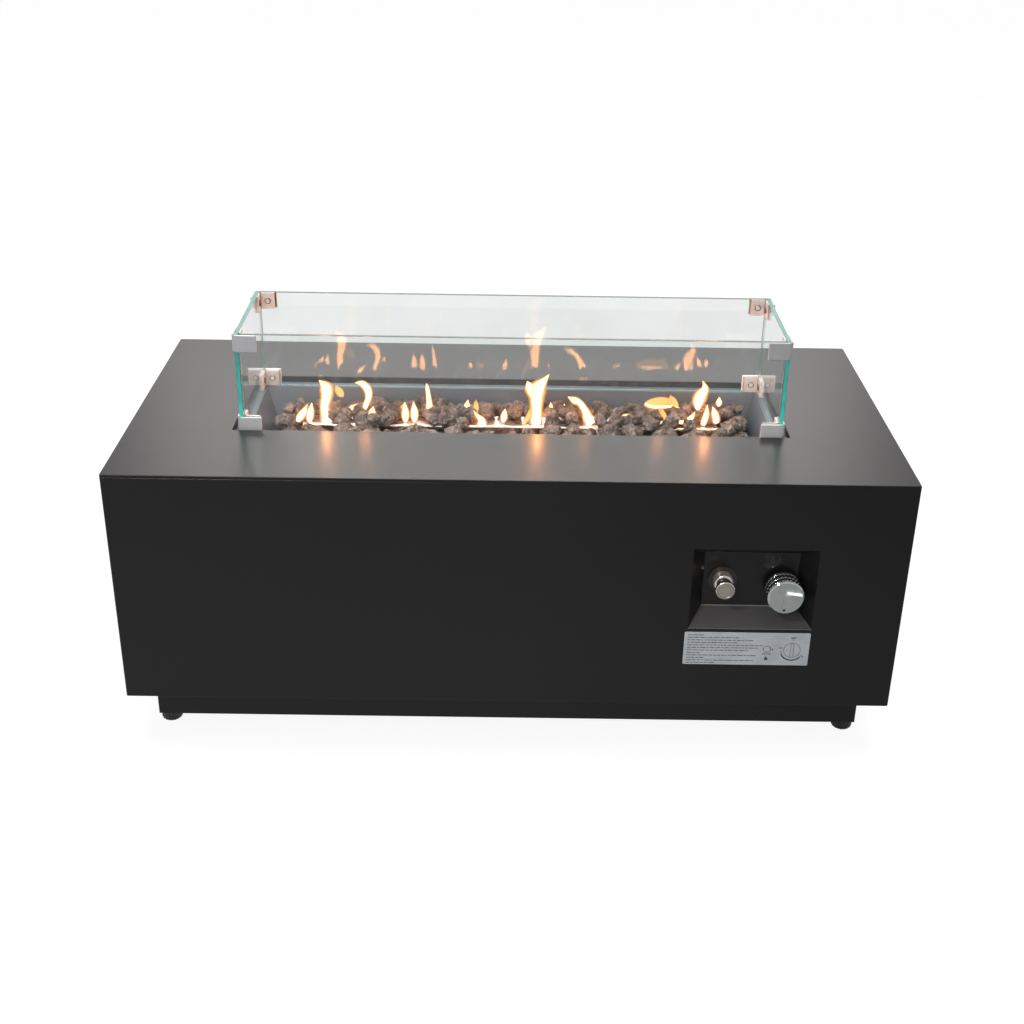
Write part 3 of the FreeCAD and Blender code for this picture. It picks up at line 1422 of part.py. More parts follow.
def build():
    """Every node by name."""
    foot_names = ("foot_front_left", "foot_front_right", "foot_back_left", "foot_back_right")
    spindle = valve_spindle()
    nodes = {
        "top_panel": top_panel(),
        "front_panel": front_panel(),
        "back_panel": back_panel(),
        "left_side_panel": side_panel("left_side_panel", -1),
        "right_side_panel": side_panel("right_side_panel", 1),
        "top_strips": top_strips(),
        "corner_posts": corner_posts(),
        "plinth_front": plinth_channel("plinth_front", -1),
        "plinth_back": plinth_channel("plinth_back", 1),
        "plinth_left": plinth_end("plinth_left", -1),
        "plinth_right": plinth_end("plinth_right", 1),
        "foot_nuts": foot_nuts(),
        "front_rail": fire_rail("front_rail", -1),
        "back_rail": fire_rail("back_rail", 1),
        "fire_bowl": fire_bowl(),
        "burner": burner(),
        "burner_supports": burner_supports(),
        "air_mixer": air_mixer(),
        "orifice": orifice(),
        "lava_rocks_front": lava_rocks("lava_rocks_front", -1),
        "lava_rocks_back": lava_rocks("lava_rocks_back", 1),
        "sensor_bracket": sensor_bracket(),
        "spark_electrode": spark_electrode(),
        "thermocouple": thermocouple(),
        "spark_lead": spark_lead(),
        "thermocouple_lead": thermocouple_lead(),
        "control_niche": control_niche(),
        "instruction_plate": instruction_plate(),
        "valve_body": valve_body(),
        "valve_nut": valve_nut(),
        "valve_bezel": valve_bezel(),
        "valve_spindle": spindle,
        "knob": knob(spindle),
        "spring_washer": spring_washer(),
        "knob_spring": knob_spring(),
        "igniter_body": igniter_body(),
        "igniter_collar": igniter_collar(),
        "igniter_washer": igniter_washer(),
        "igniter_nut": igniter_nut(),
        "igniter_button": igniter_button(),
        "igniter_plunger": igniter_plunger(),
        "igniter_spring": igniter_spring(),
        "igniter_battery": igniter_battery(),
        "gas_tube": gas_tube(),
        "inlet_tube": inlet_tube(),
        "tube_nuts": tube_nuts(),
        "gas_inlet": gas_inlet(),
        "inlet_nut": inlet_nut(),
        "glass_front": long_pane("glass_front", -1),
        "glass_back": long_pane("glass_back", 1),
        "glass_left": end_pane("glass_left", -1),
        "glass_right": end_pane("glass_right", 1),
        "guard_brackets_bottom": guard_brackets("guard_brackets_bottom", "guard_bottom"),
        "guard_brackets_top": guard_brackets("guard_brackets_top", "guard_top - bracket_height"),
        "guard_clamps": guard_clamps(),
        "guard_screws": guard_screws(),
    }
    nodes.update(zip(foot_names, feet()))
    return nodes


def export(nodes):
    """Checks every object and each node's shape, then writes one file for each node."""
    doc.recompute()
    for thing in doc.Objects:
        if "Invalid" in thing.State or "Error" in thing.State:
            raise RuntimeError(f"{thing.Name} failed: {thing.State}")
    os.makedirs("parts", exist_ok=True)
    for name, thing in nodes.items():
        thing.Label = name
        if thing.Shape.isNull() or not thing.Shape.isValid():
            raise RuntimeError(f"{name} has no valid shape")
        thing.Shape.exportStep(f"parts/{name}.step")
        box = thing.Shape.BoundBox
        print(f"{name}: {len(thing.Shape.Solids)} solids, {thing.Shape.Volume / 1000:.1f} cm3, "
              f"{box.XLength:.1f} x {box.YLength:.1f} x {box.ZLength:.1f} mm")


export(build())
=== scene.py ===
import json
import math
import random

import bmesh
import bpy
from mathutils import Matrix, Vector

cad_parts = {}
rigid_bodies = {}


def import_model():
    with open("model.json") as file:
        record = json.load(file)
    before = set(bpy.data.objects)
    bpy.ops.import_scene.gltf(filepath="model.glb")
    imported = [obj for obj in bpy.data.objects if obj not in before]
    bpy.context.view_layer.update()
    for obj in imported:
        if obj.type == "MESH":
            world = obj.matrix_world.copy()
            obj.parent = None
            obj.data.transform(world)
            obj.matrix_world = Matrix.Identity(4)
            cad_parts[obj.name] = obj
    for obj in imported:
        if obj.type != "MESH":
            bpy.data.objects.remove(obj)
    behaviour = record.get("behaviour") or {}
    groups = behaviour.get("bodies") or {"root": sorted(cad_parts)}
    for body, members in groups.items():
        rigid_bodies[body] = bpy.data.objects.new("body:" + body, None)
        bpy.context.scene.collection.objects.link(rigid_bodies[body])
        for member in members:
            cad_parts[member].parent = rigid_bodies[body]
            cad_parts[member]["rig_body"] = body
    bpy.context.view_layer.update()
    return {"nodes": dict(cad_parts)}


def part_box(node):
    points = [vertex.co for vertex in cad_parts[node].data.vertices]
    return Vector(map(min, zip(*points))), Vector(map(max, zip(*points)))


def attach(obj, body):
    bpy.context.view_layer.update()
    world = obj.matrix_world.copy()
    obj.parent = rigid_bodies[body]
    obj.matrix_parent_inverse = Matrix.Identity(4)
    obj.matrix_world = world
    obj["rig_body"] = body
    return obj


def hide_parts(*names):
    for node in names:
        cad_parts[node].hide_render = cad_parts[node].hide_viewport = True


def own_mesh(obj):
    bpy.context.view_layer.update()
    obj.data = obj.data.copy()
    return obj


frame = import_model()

scene = bpy.context.scene
scene.view_settings.view_transform = "Standard"


def add_object(name, data):
    """A new object in the scene."""
    made = bpy.data.objects.new(name, data)
    scene.collection.objects.link(made)
    return made


# Camera. It looks down at the front from chest height and leans very slightly.
camera_data = bpy.data.cameras.new("camera")
camera_data.lens = 50.64
camera_data.sensor_width = 36
camera = add_object("camera", camera_data)
heading = Matrix.Rotation(math.radians(-0.2533), 3, "Z")
tilt = Matrix.Rotation(math.radians(63.192), 3, "X")
lean = Matrix.Rotation(math.radians(0.9219), 3, "Z")
camera.matrix_world = Matrix.Translation((-0.00545, -1.9433, 1.2268)) @ (heading @ tilt @ lean).to_4x4()
scene.camera = camera

# Studio. A white floor and room, wide soft lamps behind and overhead that draw the sheen on the
# table top, and in front a weak fill and a small glint that shows only in shiny surfaces.
def add_node(tree, kind, **settings):
    """A node with its properties and inputs set; an output given to an input is linked to it.

    An input's name is written with _ for a space.
    """
    node = tree.nodes.new(kind)
    for name, setting in settings.items():
        if isinstance(setting, bpy.types.NodeSocket):
            tree.links.new(setting, node.inputs[name.replace("_", " ")])
        elif hasattr(node, name):
            setattr(node, name, setting)
        else:
            node.inputs[name.replace("_", " ")].default_value = setting
    return node


def new_tree(name):
    """An empty material and its node tree."""
    made = bpy.data.materials.new(name)
    made.use_nodes = True
    made.node_tree.nodes.clear()
    return made, made.node_tree


def show(tree, surface):
    """Makes a shader node the surface of its material."""
    tree.links.new(surface.outputs[0], tree.nodes.new("ShaderNodeOutputMaterial").inputs["Surface"])


def object_place(tree):
    """The place in its object of the point that is shaded."""
    return tree.nodes.new("ShaderNodeTexCoord").outputs["Object"]


def math_node(tree, operation, first, second):
    """A Math node; either value is a number or an output socket."""
    node = tree.nodes.new("ShaderNodeMath")
    node.operation = operation
    for slot, value in enumerate((first, second)):
        if isinstance(value, (int, float)):
            node.inputs[slot].default_value = value
        else:
            tree.links.new(value, node.inputs[slot])
    return node.outputs[0]


def brightness_seen(tree, straight, through, mirrored):
    """How bright the white room is to the camera, through glass and in a mirror."""
    path = tree.nodes.new("ShaderNodeLightPath")
    direct = math_node(tree, "MULTIPLY", path.outputs["Is Camera Ray"], straight)
    in_glass = math_node(tree, "MULTIPLY", path.outputs["Is Transmission Ray"], through)
    in_metal = math_node(tree, "MULTIPLY", mirrored, path.outputs["Is Glossy Ray"])
    return math_node(tree, "MAXIMUM", math_node(tree, "MAXIMUM", direct, in_glass), in_metal)


FLOOR_HALF = 9
floor_white, tree = new_tree("studio_floor")
axes = add_node(tree, "ShaderNodeSeparateXYZ", Vector=object_place(tree))
# The floor's brightness in mirrors is painted to fall off to the right and farther in front, as painted shade
# in what the front panel and other shiny faces reflect.
to_right = add_node(tree, "ShaderNodeMapRange", Value=axes.outputs["X"],
                    From_Min=0.0, From_Max=0.75, To_Min=0.48, To_Max=0.2)
to_front = add_node(tree, "ShaderNodeMapRange", Value=axes.outputs["Y"],
                    From_Min=-1.1, From_Max=-0.35, To_Min=0.82, To_Max=1.12)
floor_painted_mirror_brightness = math_node(tree, "MULTIPLY", to_right.outputs[0], to_front.outputs[0])
show(tree, add_node(tree, "ShaderNodeBsdfPrincipled", Base_Color=(0.25, 0.25, 0.25, 1), Roughness=1.0,
                    Specular_IOR_Level=0.0, Emission_Color=(1, 1, 1, 1),
                    Emission_Strength=brightness_seen(tree, 0.9, 0.7, floor_painted_mirror_brightness)))
floor_mesh = bpy.data.meshes.new("studio_floor")
floor_mesh.from_pydata([(FLOOR_HALF * x, FLOOR_HALF * y, 0) for x, y in ((-1, -1), (1, -1), (1, 1), (-1, 1))],
                       [], [(0, 1, 2, 3)])
floor_mesh.materials.append(floor_white)
floor = add_object("studio_floor", floor_mesh)

world = bpy.data.worlds.new("studio")
scene.world = world
world.use_nodes = True
tree = world.node_tree
tree.nodes.clear()
SOFT_LIGHT = 0.34
room_seen = math_node(tree, "MAXIMUM", brightness_seen(tree, 1.0, 0.86, 0.7), SOFT_LIGHT)
room = add_node(tree, "ShaderNodeBackground", Color=(1, 1, 1, 1), Strength=room_seen)
tree.links.new(room.outputs[0], tree.nodes.new("ShaderNodeOutputWorld").inputs["Surface"])


def soft_lamp(name, place, size, watts, colour=(1, 1, 1), aim=(0, 0, 0.4)):
    """A rectangular lamp that faces the table and doesn't show itself."""
    data = bpy.data.lights.new(name, "AREA")
    data.shape = "RECTANGLE"
    data.size, data.size_y = size
    data.energy = watts
    data.color = colour
    lamp = add_object(name, data)
    lamp.location = place
    lamp.rotation_euler = (Vector(aim) - Vector(place)).to_track_quat("-Z", "Y").to_euler()
    lamp.visible_camera = False
    return lamp


KNOB_FACE = (0.3729, -0.265, 0.254)
soft_lamp("back_softbox", (-0.02, 3.2, 2.4), (2.9, 1.8), 41, (1, 0.94, 0.93))
soft_lamp("top_softbox", (0, 0.3, 3.0), (2.6, 1.6), 34)
soft_lamp("front_fill", (-0.9, -3.0, 1.9), (0.6, 0.25), 16)
soft_lamp("front_glint", (-1.1, -1.9, 2.3), (0.3, 0.3), 70, aim=KNOB_FACE).visible_diffuse = False

# Table top. One steel sheet, hemmed under at its outer edge and folded down into a lip round the
# fire, with a fine-grained charcoal powder coat that has a soft sheen.
NUMBER = "NodeSocketFloat"
COLOUR = "NodeSocketColor"
FINISH_OUTPUTS = {"Colour": COLOUR, "Roughness": NUMBER, "Height": NUMBER}


def new_group(name, inputs, outputs, kind="ShaderNodeTree"):
    """A node group's tree, its input node and its output node."""
    tree = bpy.data.node_groups.new(name, kind)
    for label, (socket, value) in inputs.items():
        made = tree.interface.new_socket(label, in_out="INPUT", socket_type=socket)
        if value is not None:
            made.default_value = value
    for label, socket in outputs.items():
        tree.interface.new_socket(label, in_out="OUTPUT", socket_type=socket)
    return tree, tree.nodes.new("NodeGroupInput"), tree.nodes.new("NodeGroupOutput")


def swing(tree, noise, amount):
    """A noise's ups and downs round its middle, times an amount."""
    return math_node(tree, "MULTIPLY", math_node(tree, "SUBTRACT", noise.outputs["Fac"], 0.5), amount)


def give_finish(tree, given, result, brightness, roughness, relief):
    """Feeds a finish group's outputs from a brightness, a change of roughness and a noise in relief."""
    tone = add_node(tree, "ShaderNodeHueSaturation", Value=brightness, Color=given.outputs["Colour"])
    tree.links.new(tone.outputs[0], result.inputs["Colour"])
    tree.links.new(math_node(tree, "ADD", roughness, given.outputs["Roughness"]), result.inputs["Roughness"])
    tree.links.new(relief.outputs["Fac"], result.inputs["Height"])


powder_coat, given, result = new_group(
    "powder_coat",
    {"Colour": (COLOUR, (0.02, 0.02, 0.02, 1)), "Cloud": (NUMBER, 0.3), "Roughness": (NUMBER, 0.4),
     "Rub": (NUMBER, 0.1)}, FINISH_OUTPUTS)
place = object_place(powder_coat)
grain = add_node(powder_coat, "ShaderNodeTexNoise", Vector=place, Scale=700.0, Detail=2.0)
cloud = add_node(powder_coat, "ShaderNodeTexNoise", Vector=place, Scale=5.0, Detail=4.0, Roughness=0.6)
rub = add_node(powder_coat, "ShaderNodeTexNoise", Vector=place, Scale=23.0, Detail=5.0, Roughness=0.7)
shade = math_node(powder_coat, "ADD", swing(powder_coat, cloud, given.outputs["Cloud"]),
                  swing(powder_coat, grain, 0.5))
give_finish(powder_coat, given, result, math_node(powder_coat, "ADD", shade, 1.0),
            swing(powder_coat, rub, given.outputs["Rub"]), grain)


def patterned(name, group, relief, values, **settings):
    """A material whose colour, roughness and fine relief come from a finish group."""
    made, tree = new_tree(name)
    pattern = add_node(tree, "ShaderNodeGroup", node_tree=group)
    for label, value in values.items():
        pattern.inputs[label].default_value = value
    bump = add_node(tree, "ShaderNodeBump", Height=pattern.outputs["Height"], Distance=relief, Strength=1.0)
    show(tree, add_node(tree, "ShaderNodeBsdfPrincipled", Base_Color=pattern.outputs["Colour"],
                        Roughness=pattern.outputs["Roughness"], Normal=bump.outputs[0], **settings))
    return made


def coated(name, colour, roughness, level=0.5, cloud=0.3, rub=0.12):
    """A powder-coated sheet in one colour."""
    return patterned(name, powder_coat, 0.00003,
                     {"Colour": (*colour, 1), "Cloud": cloud, "Roughness": roughness, "Rub": rub},
                     Specular_IOR_Level=level)


def put_in_place(name, mesh, body, *nodes):
    """An object for a finished mesh that rides on a body and stands for the nodes."""
    piece = add_object(name, mesh)
    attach(piece, body)
    if nodes:
        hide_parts(*nodes)
    return piece


def shade_faces(mesh, smooth=True):
    """Shades a mesh's faces smooth or flat."""
    mesh.polygons.foreach_set("use_smooth", [smooth] * len(mesh.polygons))


def plain_mesh(work, name, *materials):
    """A mesh with nothing but the shape of a bmesh, smooth shaded."""
    work.verts.index_update()
    mesh = bpy.data.meshes.new(name)
    mesh.from_pydata([corner.co.copy() for corner in work.verts], [],
                     [[corner.index for corner in face.verts] for face in work.faces])
    shade_faces(mesh)
    for material in materials:
        mesh.materials.append(material)
    work.free()
    return mesh


def joined_copy(node, material):
    """A piece with a CAD piece's shape, its loose triangles joined into whole faces."""
    source = frame["nodes"][node]
    work = bmesh.new()
    work.from_mesh(source.data)
    bmesh.ops.remove_doubles(work, verts=work.verts, dist=2e-6)
    bmesh.ops.dissolve_limit(work, angle_limit=math.radians(0.4), verts=work.verts, edges=work.edges)
    return put_in_place(node + "_finished", plain_mesh(work, node + "_finished", material),
                        source["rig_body"], node)


def softened(node, width, material, segments=2):
    """A CAD piece with its sharp edges rounded as pressing, casting or filing leaves them."""
    piece = joined_copy(node, material)
    bevel = piece.modifiers.new("edges", "BEVEL")
    bevel.width = width
    bevel.segments = segments
    bevel.limit_method = "ANGLE"
    bevel.angle_limit = math.radians(35)
    bevel.use_clamp_overlap = False
    bevel.harden_normals = True
    return piece


charcoal = coated("charcoal_powder_coat", (0.0135, 0.0122, 0.0123), 0.29, level=0.3, rub=0.03)
softened("top_panel", 0.0007, charcoal)

# Body panels. Front and back are trays of bent sheet whose ends turn round the corners; flat ends
# close the sides. They carry the same charcoal coat as the top, with a painted highlight, a lighter coat, on
# the window's sill.
for name in ("front_panel", "back_panel", "left_side_panel", "right_side_panel"):
    panel = softened(name, 0.0005, charcoal)
    if name == "front_panel":
        window_low, window_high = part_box("control_niche")
        # The sill's top face is coated lighter as a painted highlight along the fold.
        panel.data.materials.append(coated("sill_painted_highlight", (0.36, 0.34, 0.34), 0.4))
        for face in panel.data.polygons:
            if face.normal.z > 0.5 and window_low.z < face.center.z < (window_low.z + window_high.z) / 2:
                face.material_index = 1


def dress(material, *nodes):
    """Gives CAD pieces that stay as they are their finish."""
    for node in nodes:
        mesh = frame["nodes"][node].data
        mesh.materials.clear()
        mesh.materials.append(material)


# Frame. Angles in the corners, strips under the top and square tubes beside the bowl, welded from
# steel and painted a flatter black.
frame_black = coated("frame_black", (0.018, 0.018, 0.019), 0.55, level=0.4, cloud=0.5)
dress(frame_black, "corner_posts", "top_strips", "front_rail", "back_rail")

# Plinth. Four channels of bent sheet welded into a ring that stands back from the body, in the
# charcoal coat.
for name in ("plinth_front", "plinth_back", "plinth_left", "plinth_right"):
    softened(name, 0.0005, charcoal)

# Feet. Moulded black plastic discs with ribbed rims on threaded studs, screwed into nuts that are
# welded in the plinth.
speckle, given, result = new_group(
    "moulded_speckle", {"Colour": (COLOUR, (0.02, 0.02, 0.02, 1)), "Roughness": (NUMBER, 0.4)},
    FINISH_OUTPUTS)
place = object_place(speckle)
pores = add_node(speckle, "ShaderNodeTexNoise", Vector=place, Scale=900.0, Detail=3.0)
flow = add_node(speckle, "ShaderNodeTexNoise", Vector=place, Scale=45.0, Detail=3.0)
give_finish(speckle, given, result, math_node(speckle, "ADD", flow.outputs["Fac"], 0.5),
            swing(speckle, flow, 0.3), pores)


def moulded(name, colour, roughness):
    """A moulded plastic, rubber or glazed piece in one colour."""
    return patterned(name, speckle, 0.00004, {"Colour": (*colour, 1), "Roughness": roughness})


foot_black = moulded("foot_black", (0.012, 0.012, 0.013), 0.3)
for name in ("foot_front_left", "foot_front_right", "foot_back_left", "foot_back_right"):
    softened(name, 0.0004, foot_black)

# Nuts and bracket. Galvanised steel, in the bare metal with fine brush lines and faint stains that
# every metal piece shares.
brushed, given, result = new_group(
    "brushed_metal",
    {"Colour": (COLOUR, (0.6, 0.6, 0.6, 1)), "Stretch": ("NodeSocketVector", (1, 1, 1)),
     "Roughness": (NUMBER, 0.3), "Spread": (NUMBER, 0.2), "Stain": (NUMBER, 0.2)}, FINISH_OUTPUTS)
place = object_place(brushed)
stretched = add_node(brushed, "ShaderNodeVectorMath", operation="MULTIPLY")
brushed.links.new(place, stretched.inputs[0])
brushed.links.new(given.outputs["Stretch"], stretched.inputs[1])
lines = add_node(brushed, "ShaderNodeTexNoise", Vector=stretched.outputs[0], Scale=1.0, Detail=3.0,
                 Roughness=0.6)
stain = add_node(brushed, "ShaderNodeTexNoise", Vector=place, Scale=38.0, Detail=4.0, Roughness=0.6)
stained = swing(brushed, stain, given.outputs["Stain"])
shade = math_node(brushed, "ADD", stained, swing(brushed, lines, 0.25))
dulled = math_node(brushed, "ADD", swing(brushed, lines, given.outputs["Spread"]),
                   math_node(brushed, "MULTIPLY", stained, 0.5))
give_finish(brushed, given, result, math_node(brushed, "ADD", shade, 1.0), dulled, lines)


def metal(name, colour, roughness, stretch=(300, 300, 300), spread=0.2, stained=0.25, depth=0.00002,
          metallic=1.0):
    """A bare or plated metal; the stretch draws its brush lines out along an axis."""
    return patterned(name, brushed, depth,
                     {"Colour": (*colour, 1), "Stretch": stretch, "Roughness": roughness, "Spread": spread,
                      "Stain": stained}, Metallic=metallic)


galvanised = metal("galvanised", (0.52, 0.54, 0.56), 0.42, stained=0.5)
dress(galvanised, "foot_nuts", "sensor_bracket", "inlet_nut", "valve_nut")

# Fire bowl. A pan folded from one sheet, with walls that lean in and a flat ledge that the guard
# stands on, coated a lighter, cooler grey than the table.
bowl_grey = coated("bowl_grey", (0.116, 0.135, 0.163), 0.5, level=0.4, cloud=0.5)
softened("fire_bowl", 0.0006, bowl_grey)

# Burner. A stainless channel on two saddles with paired slots for the gas, tanned by heat, with
# its brass jet, nuts and inlet and the cast valve and air mixer.
stainless = metal("heated_stainless", (0.72, 0.6, 0.53), 0.26, (25, 900, 900), 0.3, 0.6)
softened("burner", 0.0003, stainless)
dress(stainless, "burner_supports", "thermocouple")
brass = metal("brass", (0.72, 0.5, 0.2), 0.3)
dress(brass, "orifice", "tube_nuts")
softened("gas_inlet", 0.0004, brass)
zinc = metal("zinc_casting", (0.5, 0.5, 0.51), 0.5, stained=0.5, depth=0.00008)
dress(zinc, "valve_body", "air_mixer")

# Lava rocks. A loose heap of porous stones the size of walnuts, in front of the burner and behind
# it, with smaller ones on its top between the flames.
BURNER_END, BURNER_SIDE, BURNER_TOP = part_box("burner")[1]
BESIDE_BURNER = 1.3 * BURNER_SIDE
BOWL_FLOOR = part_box("lava_rocks_front")[0].z
GEOMETRY = "NodeSocketGeometry"
MATERIAL = "NodeSocketMaterial"


def named_values(tree, name, kind="FLOAT_VECTOR"):
    """The values of a named attribute in a geometry tree."""
    return add_node(tree, "GeometryNodeInputNamedAttribute", data_type=kind, Name=name).outputs["Attribute"]


def lava_stone_tree():
    """Turns points with a size and a turn into porous stones."""
    tree, start, end = new_group(
        "lava_stones",
        {"Geometry": (GEOMETRY, None), "Lumps": (NUMBER, 0.3), "Pits": (NUMBER, 0.002),
         "Material": (MATERIAL, None)}, {"Geometry": GEOMETRY}, "GeometryNodeTree")
    ball = add_node(tree, "GeometryNodeMeshIcoSphere", Radius=1.0, Subdivisions=4)
    points = add_node(tree, "GeometryNodeMeshToPoints", Mesh=start.outputs["Geometry"])
    turn = tree.nodes.new("FunctionNodeEulerToRotation")
    tree.links.new(named_values(tree, "turn"), turn.inputs[0])
    stones = add_node(tree, "GeometryNodeInstanceOnPoints", Points=points.outputs[0],
                      Instance=ball.outputs["Mesh"], Scale=named_values(tree, "size"),
                      Rotation=turn.outputs[0])
    realized = add_node(tree, "GeometryNodeRealizeInstances", Geometry=stones.outputs[0])
    lumps = add_node(tree, "ShaderNodeTexNoise", Scale=62.0, Detail=2.0)
    pits = add_node(tree, "ShaderNodeTexVoronoi", Scale=210.0)
    grit = add_node(tree, "ShaderNodeTexNoise", Scale=330.0, Detail=2.0)
    dent = math_node(tree, "MULTIPLY", math_node(tree, "SUBTRACT", pits.outputs["Distance"], 0.55),
                     start.outputs["Pits"])
    rise = math_node(tree, "ADD", swing(tree, lumps, start.outputs["Lumps"]), dent)
    offset = add_node(tree, "ShaderNodeVectorMath", operation="SCALE",
                      Scale=math_node(tree, "ADD", rise, swing(tree, grit, 0.0022)))
    tree.links.new(tree.nodes.new("GeometryNodeInputNormal").outputs[0], offset.inputs[0])
    moved = add_node(tree, "GeometryNodeSetPosition", Geometry=realized.outputs[0], Offset=offset.outputs[0])
    finish = add_node(tree, "GeometryNodeSetMaterial", Geometry=moved.outputs[0],
                      Material=start.outputs["Material"])
    tree.links.new(finish.outputs[0], end.inputs["Geometry"])
    return tree


def grown(name, start_mesh, tree, **values):
    """The plain mesh that a geometry tree makes from a start mesh."""
    start = add_object(name + "_start", start_mesh)
    modifier = start.modifiers.new("made", "NODES")
    modifier.node_group = tree
    for item in tree.interface.items_tree:
        if item.in_out == "INPUT" and item.name in values:
            modifier[item.identifier] = values[item.name]
    made = start.evaluated_get(bpy.context.evaluated_depsgraph_get())
    mesh = bpy.data.meshes.new_from_object(made)
    mesh.name = name
    bpy.data.objects.remove(start)
    return mesh


def points_mesh(name, places, **vectors):
    """Loose points, each with named vectors."""
    mesh = bpy.data.meshes.new(name)
    mesh.from_pydata(places, [], [])
    for label, rows in vectors.items():
        layer = mesh.attributes.new(label, "FLOAT_VECTOR", "POINT")
        layer.data.foreach_set("vector", [number for row in rows for number in row])
    return mesh


chance = random.Random(11)
stones = []
SEEN_BURNER = ((-0.328, -0.262), (-0.176, -0.122), (-0.061, 0.055), (0.090, 0.128), (0.266, 0.297))
HEAP_TOP, HEAP_END, HEAP_END_DROP = 0.409, 0.3, 0.012
BACK_HEAP_TOP, BACK_LEFT, BACK_LEFT_DROP = 0.404, -0.278, 0.016
HEAP_WAVE, WAVES = 0.004, 29
GAP_FRONT, GAP_BACK = -1.35 * BURNER_SIDE, 0.35 * BURNER_SIDE
BELOW_FLAMES = BURNER_TOP + 0.006
OVER_BURNER = BURNER_TOP + 0.0225
BACK_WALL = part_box("lava_rocks_back")[1].y
WALL_LEAN, WALL_PLAY = 0.3, 0.003
DROP_ALONG, DROP_ACROSS = (-0.335, 0.335), (-0.064, 0.066)
STONE_RADII = (0.0125, 0.0185)
SIZE_PLAY = ((0.95, 1.2), (0.85, 1.05), (0.8, 1.0))
TURN_PLAY = ((-0.5, 0.5), (-0.5, 0.5), (0, 6.28))
STONES_TRIED = 6000
SMALL_STONE = 0.72
# How much of its radius a stone keeps from the floor, the burner, another stone and the heap's edge.
ON_FLOOR, ON_BURNER, ON_STONE, AT_EDGE = 0.86, 0.9, 0.84, 0.95


def burner_shows(x):
    """Whether the burner can be seen between the stones at this place."""
    return any(low < x < high for low, high in SEEN_BURNER)


def resting_height(x, y, radius):
    """The middle height of a stone dropped at a place onto the bowl, the burner and the heap."""
    height = BOWL_FLOOR + ON_FLOOR * radius
    beside = math.hypot(max(abs(x) - BURNER_END, 0), max(abs(y) - BURNER_SIDE, 0))
    if beside < ON_BURNER * radius:
        height = max(height, BURNER_TOP + math.sqrt((ON_BURNER * radius) ** 2 - beside ** 2))
    for other_x, other_y, other_z, other_radius in stones:
        reach = ON_STONE * (radius + other_radius)
        apart = math.hypot(x - other_x, y - other_y)
        if apart < reach:
            height = max(height, other_z + math.sqrt(reach ** 2 - apart ** 2))
    return height


def heap_ceiling(x, y):
    """How high a stone may reach at a place, so that the burner shows where the flames stand."""
    if burner_shows(x):
        if y < GAP_FRONT:
            return BELOW_FLAMES
        if y < GAP_BACK:
            return 0.0
    if abs(y) < BESIDE_BURNER:
        return OVER_BURNER
    if y > 0:
        return BACK_HEAP_TOP - (0 if x > BACK_LEFT else BACK_LEFT_DROP) + HEAP_WAVE * math.sin(WAVES * x)
    return HEAP_TOP if abs(x) < HEAP_END else HEAP_TOP - HEAP_END_DROP


for attempt in range(STONES_TRIED):
    radius = chance.uniform(*STONE_RADII)
    x = chance.uniform(*DROP_ALONG)
    y = chance.uniform(*DROP_ACROSS)
    if abs(y) < BESIDE_BURNER or (burner_shows(x) and y < 0):
        radius *= SMALL_STONE
    z = resting_height(x, y, radius)
    wall = BACK_WALL + WALL_LEAN * (z - BOWL_FLOOR)
    if z + AT_EDGE * radius < heap_ceiling(x, y) and abs(y) + AT_EDGE * radius < wall + WALL_PLAY:
        stones.append((x, y, z, radius))

TOP_STONE = (-0.104, 0.048, 0.0085)
stones.append((*TOP_STONE[:2], resting_height(*TOP_STONE), TOP_STONE[2]))


def colour_ramp(tree, value, *stops):
    """The colour that a ramp with these places and colours has at a value."""
    node = add_node(tree, "ShaderNodeValToRGB", Fac=value)
    elements = node.color_ramp.elements
    while len(elements) < len(stops):
        elements.new(0.5)
    for element, (at, colour) in zip(elements, stops):
        element.position = at
        element.color = (*colour, 1)
    return node.outputs["Color"]


lava, tree = new_tree("lava_rock")
place = object_place(tree)
patches = add_node(tree, "ShaderNodeTexNoise", Vector=place, Scale=48.0, Detail=5.0, Roughness=0.7)
holes = add_node(tree, "ShaderNodeTexVoronoi", Vector=place, Scale=430.0)
stone_tint = colour_ramp(tree, patches.outputs["Fac"], (0.3, (0.07, 0.056, 0.05)),
                         (0.5, (0.185, 0.147, 0.13)), (0.72, (0.37, 0.30, 0.265)))
# The pores are painted darker, as painted shade in the holes.
pores = colour_ramp(tree, holes.outputs["Distance"], (0.05, (0, 0, 0)), (0.5, (1, 1, 1)))
pores_painted_shade = add_node(tree, "ShaderNodeMix", data_type="RGBA", blend_type="MULTIPLY", Factor=0.6,
                     A=stone_tint, B=pores)
bump = add_node(tree, "ShaderNodeBump", Height=pores, Distance=0.002, Strength=1.0)
show(tree, add_node(tree, "ShaderNodeBsdfPrincipled", Base_Color=pores_painted_shade.outputs["Result"], Roughness=0.92,
                    Specular_IOR_Level=0.25, Normal=bump.outputs[0]))

stone_tree = lava_stone_tree()
for name, side in (("lava_rocks_front", -1), ("lava_rocks_back", 1)):
    row = [stone for stone in stones if (stone[1] > 0) == (side > 0)]
    sizes = [[stone[3] * chance.uniform(*play) for play in SIZE_PLAY] for stone in row]
    turns = [[chance.uniform(*play) for play in TURN_PLAY] for stone in row]
    heap = points_mesh(name + "_points", [stone[:3] for stone in row], size=sizes, turn=turns)
    mesh = grown(name + "_heap", heap, stone_tree, Lumps=0.018, Pits=0.005, Material=lava)
    shade_faces(mesh)
    put_in_place(name + "_heap", mesh, "table", name)

